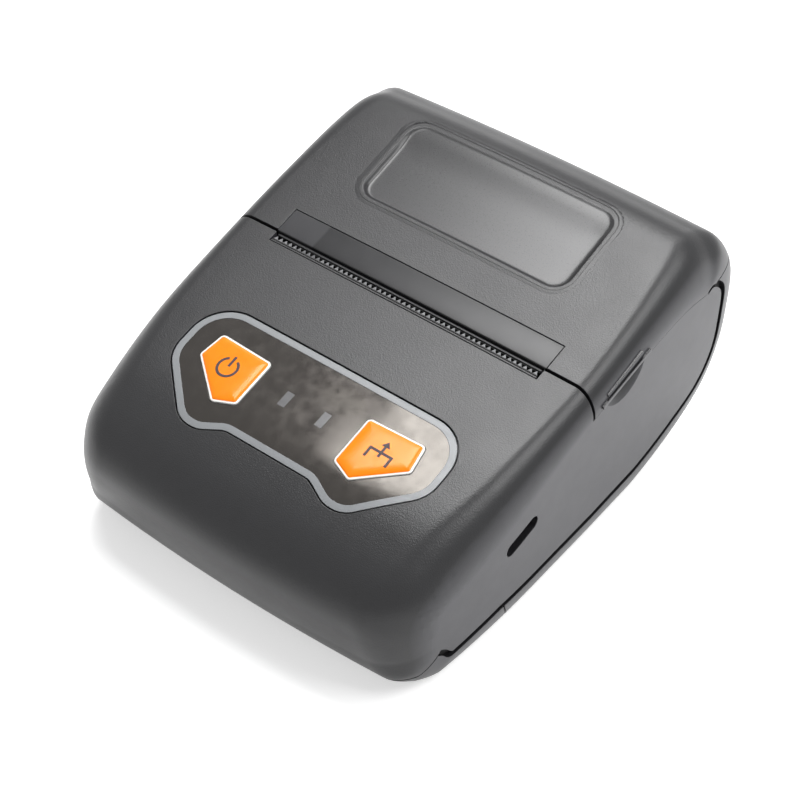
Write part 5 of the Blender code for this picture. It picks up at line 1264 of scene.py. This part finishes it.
def build_base():
    """Bottom tray with its back wall and corner posts, and the battery door in front of it."""
    tray = keep(twin(SHELL, "base"), tray_space("base_keep", SEAM, SIDE_GROOVE / 2))
    cut(tray, cheek_rebate(1), cheek_rebate(-1), cover_space("cover_room", -SEAM / 2, 0),
        rod("barrel_room", HINGE, BARREL_RADIUS + RUNNING_GAP, -REAR_PANEL_HALF, REAR_PANEL_HALF))
    door = keep(twin(tray, "door"), door_space("door_keep", SEAM))
    cut(tray, door_space("door_cut", 0))

    for side in (-1, 1):
        boss = rod("hinge_boss", HINGE, BARREL_RADIUS,
                   *span(side, REAR_PANEL_HALF, INNER_HALF - 3 * GAP))
        join(tray, keep(boss, case_block("boss_limit", WALL / 4, INNER_EDGE_STEPS)))
        low, high = span(side, BIN_RIB_HALF, BIN_RIB_HALF + WALL)
        join(tray, block("bin_rib", (low, ROLL_Y - 2 * OVERRUN, FOOT_HEIGHT + WALL / 2),
                         (high, ROLL_Y - OVERRUN, ROLL_Z - BIN_RADIUS - BIN_WALL - GAP)))
    cut(tray, rod("tray_pin_hole", HINGE, PIN_RADIUS + GAP, -INNER_HALF, INNER_HALF,
                  segments=SMALL_SEGMENTS))
    for x, y in POSTS:
        join(tray, upright("seat", x, y, BOSS_RADIUS, FOOT_HEIGHT + WALL / 2,
                           FLOOR_Z + SEAT_HEIGHT))
        cut(tray, upright("seat_hole", x, y, SCREW_HOLE, -OVERRUN, FLOOR_Z + 2 * SEAT_HEIGHT),
            upright("seat_head", x, y, SCREW_HEAD_RADIUS + GAP, -OVERRUN,
                    FOOT_HEIGHT + SCREW_HEAD + 2 * GAP))
    for shell, foot_y in ((tray, FOOT_BACK_Y), (door, FOOT_FRONT_Y)):
        for spot in on_both_sides((FOOT_X, foot_y)):
            cut(shell, rod("foot_bed", spot, FOOT_RADIUS + GAP, -OVERRUN,
                           FOOT_HEIGHT + FOOT_SINK + GAP, LEVEL))
    half = DOOR_TONGUE_WIDTH / 2
    top = FLOOR_Z + GAP + WALL / 2
    join(door, slab("door_latch", half, (DOOR_BACK_Y - OVERRUN, FLOOR_Z - WALL / 2),
                    (DOOR_BACK_Y - WALL, top)),
         slab("door_hook", half, (DOOR_BACK_Y - OVERRUN, FLOOR_Z + GAP),
              (DOOR_BACK_Y + DOOR_TONGUE, top)))
    dress_shell(tray, "tray_shell", "case", "bottom_tray")
    dress_shell(door, "door_shell", "door", "battery_door")


# Pieces

def build_dish():
    """Shallow recess in the cover: a lap over the skin, a soft wall and a smooth floor."""
    normal = RECESS_PLACE.to_3x3() @ Vector((0, 0, 1))

    def sunk(a, b, depth):
        """Point of the recess under the skin; its floor rises towards the back."""
        spot = RECESS_PLACE @ Vector((a, b, 0))
        share = min(max((b - RISE_FROM) / (RECESS_LENGTH / 2 - RISE_FROM), 0), 1)
        if 0 < depth <= RECESS_DEPTH:
            depth *= 1 - FLOOR_RISE * share ** 2 * (3 - 2 * share)
        return Vector((spot.x, spot.y, skin_at(spot.x, spot.y))) - normal * depth

    def line_at(margin):
        return divided(loop_at(RECESS_CORNERS, margin, DISH_ARC), DISH_ARC + 1, DISH_PARTS)

    def lowered(margin, depth):
        return [sunk(a, b, depth) for a, b in line_at(margin)]

    hidden = DISH_RIM - GAP
    loops = [lowered(hidden, WALL), lowered(hidden, 4 * LAP_RISE),
             lowered(DISH_RIM + DISH_LAP, 2 * LAP_RISE)]
    loops += [lowered(DISH_RIM * share, -LAP_RISE * share) for share in LAP_SHARES]
    floor_ring = 2 + len(loops) + FLOOR_ROW
    loops += [lowered(margin * MM, RECESS_DEPTH * share) for margin, share in DISH_PROFILE]
    edge = DISH_PROFILE[-1][0] * MM
    limit = RECESS_HALF + edge - FLOOR_ROUND
    for t in FLOOR_SHARES:
        loops.append([sunk(x + (max(-limit, min(limit, x)) - x) * t, y * (1 - t), RECESS_DEPTH)
                      for x, y in line_at(edge)])
    under = [p - normal * (WALL - RECESS_DEPTH) for p in loops[-1]]
    dish = ring_mesh("dish", [under, lowered(hidden, WALL + GAP), *loops], closed=False)
    for face in dish.data.polygons:
        face.material_index = int(face.index // len(under) >= floor_ring)
    with editing(dish.data) as bm:
        bmesh.ops.remove_doubles(bm, verts=bm.verts, dist=WELD)
    dress(dish, "cover_recess", "cover", (CASE, RECESS_FLOOR), smooth=DISH_ANGLE,
          on_skin=SKIN_REACH)


def build_panel():
    """Grey rim round a polished black film with two lamp windows, bent over the skin."""
    inner = rounded(grown(PANEL_LINE, -RIM_WIDTH))
    keys = [rounded(grown(key_corners(side), GAP / 3))[::-1] for side in (-1, 1)]
    lamps = [lamp_line(side, 0) for side in (-1, 1)]
    lamp_holes = [lamp[::-1] for lamp in lamps]
    for name, outlines, sink, look, nodes, slot in (
            ("panel_rim", [rounded(PANEL_LINE), inner[::-1]], RIM_SINK, RIM, ("key_panel",),
             "panel_gloss"),
            ("panel_film", [inner, *keys, *lamp_holes], FILM_SINK, FILM, (), "panel_gloss"),
            ("lamp_lens_1", lamps[:1], FILM_SINK, LENS, ("lamp_window_1",), "lamp_lens"),
            ("lamp_lens_2", lamps[1:], FILM_SINK, LENS, ("lamp_window_2",), "lamp_lens")):
        piece = laid(plate(name, outlines, -PANEL_THICKNESS, -sink, PANEL_PLACE), PANEL_PLACE)
        dress(piece, name, "case", (look,), nodes, on_skin=MM)


def bar(start, end):
    """Straight stroke between two points, as an outline."""
    one, two = Vector(start), Vector(end)
    along = (two - one).normalized() * STROKE / 2
    side = Vector((-along.y, along.x))
    return [tuple(p) for p in (one - side, two - side, two + side, one + side)]


def power_sign():
    """Open ring with a bar at its top."""
    centre = (-SIGN_X, SIGN_Y)
    ring = circle_part(centre, RING_RADIUS, RING_START, RING_END, RING_STEPS)
    ring += circle_part(centre, RING_RADIUS - STROKE, RING_END, RING_START, RING_STEPS)
    return [[ring], [bar(*((-SIGN_X, SIGN_Y + up) for up in POWER_BAR))]]


def feed_sign():
    """Arrow rising through an open frame, drawn from the frame's left foot."""
    s = STROKE / 2
    right = [(s, FEED_LOW + FEED_TAIL), (s, FEED_HIGH - STROKE),
             (FEED_HALF - STROKE, FEED_HIGH - STROKE), (FEED_HALF - STROKE, FEED_LOW),
             (FEED_HALF, FEED_LOW), (FEED_HALF, FEED_HIGH), (s, FEED_HIGH),
             (s, FEED_HIGH + FEED_TAIL), (ARROW_HALF, FEED_HIGH + FEED_TAIL)]
    left = [(-a, b) for a, b in reversed(right)]
    line = [*left[4:], *right, (0, FEED_HIGH + ARROW_TIP), *left[:4]]
    return [[[(SIGN_X + a, b) for a, b in line]]]


def build_keys():
    """Domed orange keys with a white outline and a printed sign each."""
    top = KEY_PROFILE[-1][1] * MM
    for side, node, body, sign in ((-1, "power_key", "power_button", power_sign()),
                                   (1, "feed_key", "feed_button", feed_sign())):
        loops = []
        for margin, height in KEY_PROFILE:
            line = loop_at(key_corners(side), margin * MM)
            loops.append([PANEL_PLACE @ Vector((a, b, height * MM + skin_offset(PANEL_PLACE, a, b)))
                          for a, b in line])
        cap = ring_mesh("cap", loops)
        dress(cap, node + "_cap", body, (ORANGE, WHITE_EDGE), (node,),
              smooth=DOME_ANGLE)
        for face in cap.data.polygons:
            face.material_index = int(face.index < len(line) * WHITE_ROWS)
        for number, outlines in enumerate(sign, 1):
            mark = plate("sign", outlines, top - SIGN_ROOT, top + SIGN_RISE, PANEL_PLACE)
            dress(laid(mark, PANEL_PLACE, SIGN_PITCH), f"{node}_sign_{number}", body, (PRINT,))


def build_grips():
    """Two thin finger ridges on each side of the cover."""
    for side, side_name in ((-1, "left"), (1, "right")):
        for number, shares in enumerate(GRIP_SHARES, 1):
            start, end = (Vector((a * BODY_LENGTH, b * BODY_HEIGHT - GRIP_DROP)) for a, b in shares)
            along = (end - start).normalized()
            up = Vector((-along.y, along.x)) * GRIP_HALF
            outline = [tuple(p) for p in (start - up, end - up, end + up, start + up)]
            reach = HALF + GRIP_REACH - (number - 1) * GRIP_STEP
            ridge = plate("ridge", [outline], *span(side, HALF - GRIP_ROOT, reach))
            dress(ridge, f"grip_{side_name}_{number}", "cover", (CASE,))


def build_window():
    """Smoked strip over the paper exit, flush with the skin, and the ledge in front of it."""
    strip = swept("strip", rounded(STRIP_SECTION, STRIP_CORNER_STEPS), STRIP_HALF)
    dress(strip, "exit_strip", "cover", (SMOKED,), ("exit_window",),
          smooth=DOME_ANGLE)
    ledge = swept("ledge", rounded(LEDGE_SECTION, SMALL_CORNER_STEPS), STRIP_HALF - 2 * GAP)
    web = swept("web", [(WEB_FRONT, LEDGE_LOW), (SEAM, LEDGE_LOW), (SEAM, WEB_HIGH),
                        (WEB_FRONT, WEB_HIGH)], STRIP_HALF - 2 * GAP)
    dress(join(ledge, web), "exit_ledge", "cover", (CASE,))


def build_tear_bar():
    """Toothed blade that stands up from the bar under the skin, and the thin lip before it."""
    body = slab("blade_body", TEAR_BAR_HALF,
                (-SLOT_WIDTH - TEAR_BAR_DEPTH, -TEAR_BAR_SINK - TEAR_BAR_THICKNESS),
                (BLADE_BACK, -TEAR_BAR_SINK), SLOT_PLACE)
    low = -TEAR_BAR_SINK - TEAR_BAR_THICKNESS / 2
    riser = swept("blade_riser", [(BLADE_FRONT, low), (BLADE_BACK, low), (BLADE_BACK, -BLADE_SINK),
                                  (BLADE_FRONT, -BLADE_SINK)], TEAR_BAR_HALF)
    # The bar under the slot is black plastic, painted darker for the shade it lies in
    dress(join(body, riser), "tear_bar_base", "case", (SHADE_BLACK,), ("tear_bar",))
    pitch = 2 * TEAR_BAR_HALF / TOOTH_COUNT
    edge = [(side * TEAR_BAR_HALF, BLADE_FRONT + BLADE_EDGE) for side in (-1, 1)]
    for k in range(TOOTH_COUNT):
        right = TEAR_BAR_HALF - k * pitch
        edge += [(right - TOOTH_ROOM, BLADE_BACK), (right - pitch / 2, TOOTH_TIP),
                 (right - pitch + TOOTH_ROOM, BLADE_BACK)]
    teeth = plate("teeth", [edge], -BLADE_SINK - BLADE_EDGE, -BLADE_SINK + TOOTH_LIFT, SLOT_PLACE)
    with editing(teeth.data) as bm:
        for vertex in bm.verts:
            flat = SLOT_PLACE.inverted() @ vertex.co
            flat.z += skin_offset(SLOT_PLACE, flat.x, BLADE_FRONT)
            vertex.co = SLOT_PLACE @ flat
        bmesh.ops.triangulate(bm, faces=bm.faces)
    dress(teeth, "tear_teeth", "case", (TEAR_STEEL,))
    lip = swept("lip", rounded(LIP_SECTION, SMALL_CORNER_STEPS), SLOT_HALF - GAP)
    dress(lip, "slot_lip", "case", (CASE,))


def build_grooves():
    """Tongue at the floor of the shadow groove round each cheek, painted a darker black for the
    groove's shade.
    """
    for side, side_name in ((-1, "left"), (1, "right")):
        dress(cheek_tongue(side), "groove_" + side_name, "case", (SHADE_BLACK,))


build_upper_housing()
build_cover()
build_dish()
build_base()
build_panel()
build_keys()
build_grips()
build_window()
build_tear_bar()
build_grooves()

for leftover in list(TOOLS.objects):
    bpy.data.objects.remove(leftover, do_unlink=True)
bpy.data.collections.remove(TOOLS)


# Stage, light and camera

def put_in_scene(name, data):
    """New object in the scene."""
    thing = bpy.data.objects.new(name, data)
    bpy.context.scene.collection.objects.link(thing)
    return thing


def seen_white(tree):
    """1 for the rays that show the white surround itself: camera, glossy and transmission rays."""
    rays = add(tree, "ShaderNodeLightPath").outputs
    return sums(tree, sums(tree, rays["Is Camera Ray"], rays["Is Glossy Ray"]),
                rays["Is Transmission Ray"])


def build_floor():
    """Pale floor that reads as white and keeps the printer's soft shadow."""
    bm = bmesh.new()
    bmesh.ops.create_grid(bm, x_segments=1, y_segments=1, size=FLOOR_SIZE)
    mesh = bpy.data.meshes.new("floor")
    bm.to_mesh(mesh)
    bm.free()
    floor = put_in_scene("floor", mesh)
    floor.location.z = -FLOOR_DROP
    material, tree, shader = new_material("floor_white")
    spot = add(tree, "ShaderNodeTexCoord").outputs["Object"]
    tinted(tree, shader, noise(tree, spot, 3.0), (0.80, 0.80, 0.80), (0.82, 0.82, 0.82))
    shader.inputs["Roughness"].default_value = 0.9
    shader.inputs["Specular IOR Level"].default_value = 0.1
    glow = ranged(tree, seen_white(tree), 0.0, FLOOR_GLOW)
    tree.links.new(glow, shader.inputs["Emission Strength"])
    shader.inputs["Emission Color"].default_value = WHITE
    mesh.materials.append(material)


def build_world():
    """Even studio surround: white where it is seen, brighter above than at the sides as a light."""
    world = bpy.data.worlds.new("studio")
    bpy.context.scene.world = world
    world.use_nodes = True
    tree = world.node_tree
    height = axis(tree, add(tree, "ShaderNodeTexCoord").outputs["Generated"], 2)
    level = ranged(tree, height, SIDE_LEVEL, TOP_LEVEL, 0.1, 0.9)
    strength = add(tree, "ShaderNodeMix", {0: seen_white(tree), 2: level, 3: 1.0},
                   data_type="FLOAT").outputs[0]
    back = tree.nodes["Background"]
    tree.links.new(strength, back.inputs["Strength"])
    back.inputs["Color"].default_value = WHITE


def softbox(name, centre, size, radiance, aim):
    """Rectangular area light of a given radiance, facing a point."""
    data = bpy.data.lights.new(name, "AREA")
    data.shape = "RECTANGLE"
    data.size, data.size_y = size
    data.energy = radiance * math.pi * size[0] * size[1]
    lamp = put_in_scene(name, data)
    lamp.location = centre
    lamp.rotation_euler = (Vector(aim) - Vector(centre)).to_track_quat("-Z", "Y").to_euler()


def build_camera():
    """Camera at the photo's viewing angle."""
    data = bpy.data.cameras.new("photo_camera")
    data.sensor_fit = "HORIZONTAL"
    data.sensor_width = SENSOR_WIDTH
    data.lens = FOCAL_LENGTH
    data.clip_start = NEAREST
    camera = put_in_scene("photo_camera", data)
    turn = Matrix((CAMERA_RIGHT, CAMERA_UP, CAMERA_BACK)).transposed().to_4x4()
    camera.matrix_world = Matrix.Translation(CAMERA_SPOT) @ turn
    bpy.context.scene.camera = camera


build_floor()
build_world()
for light in LIGHTS:
    softbox(*light)
build_camera()
bpy.context.scene.view_settings.view_transform = "Standard"
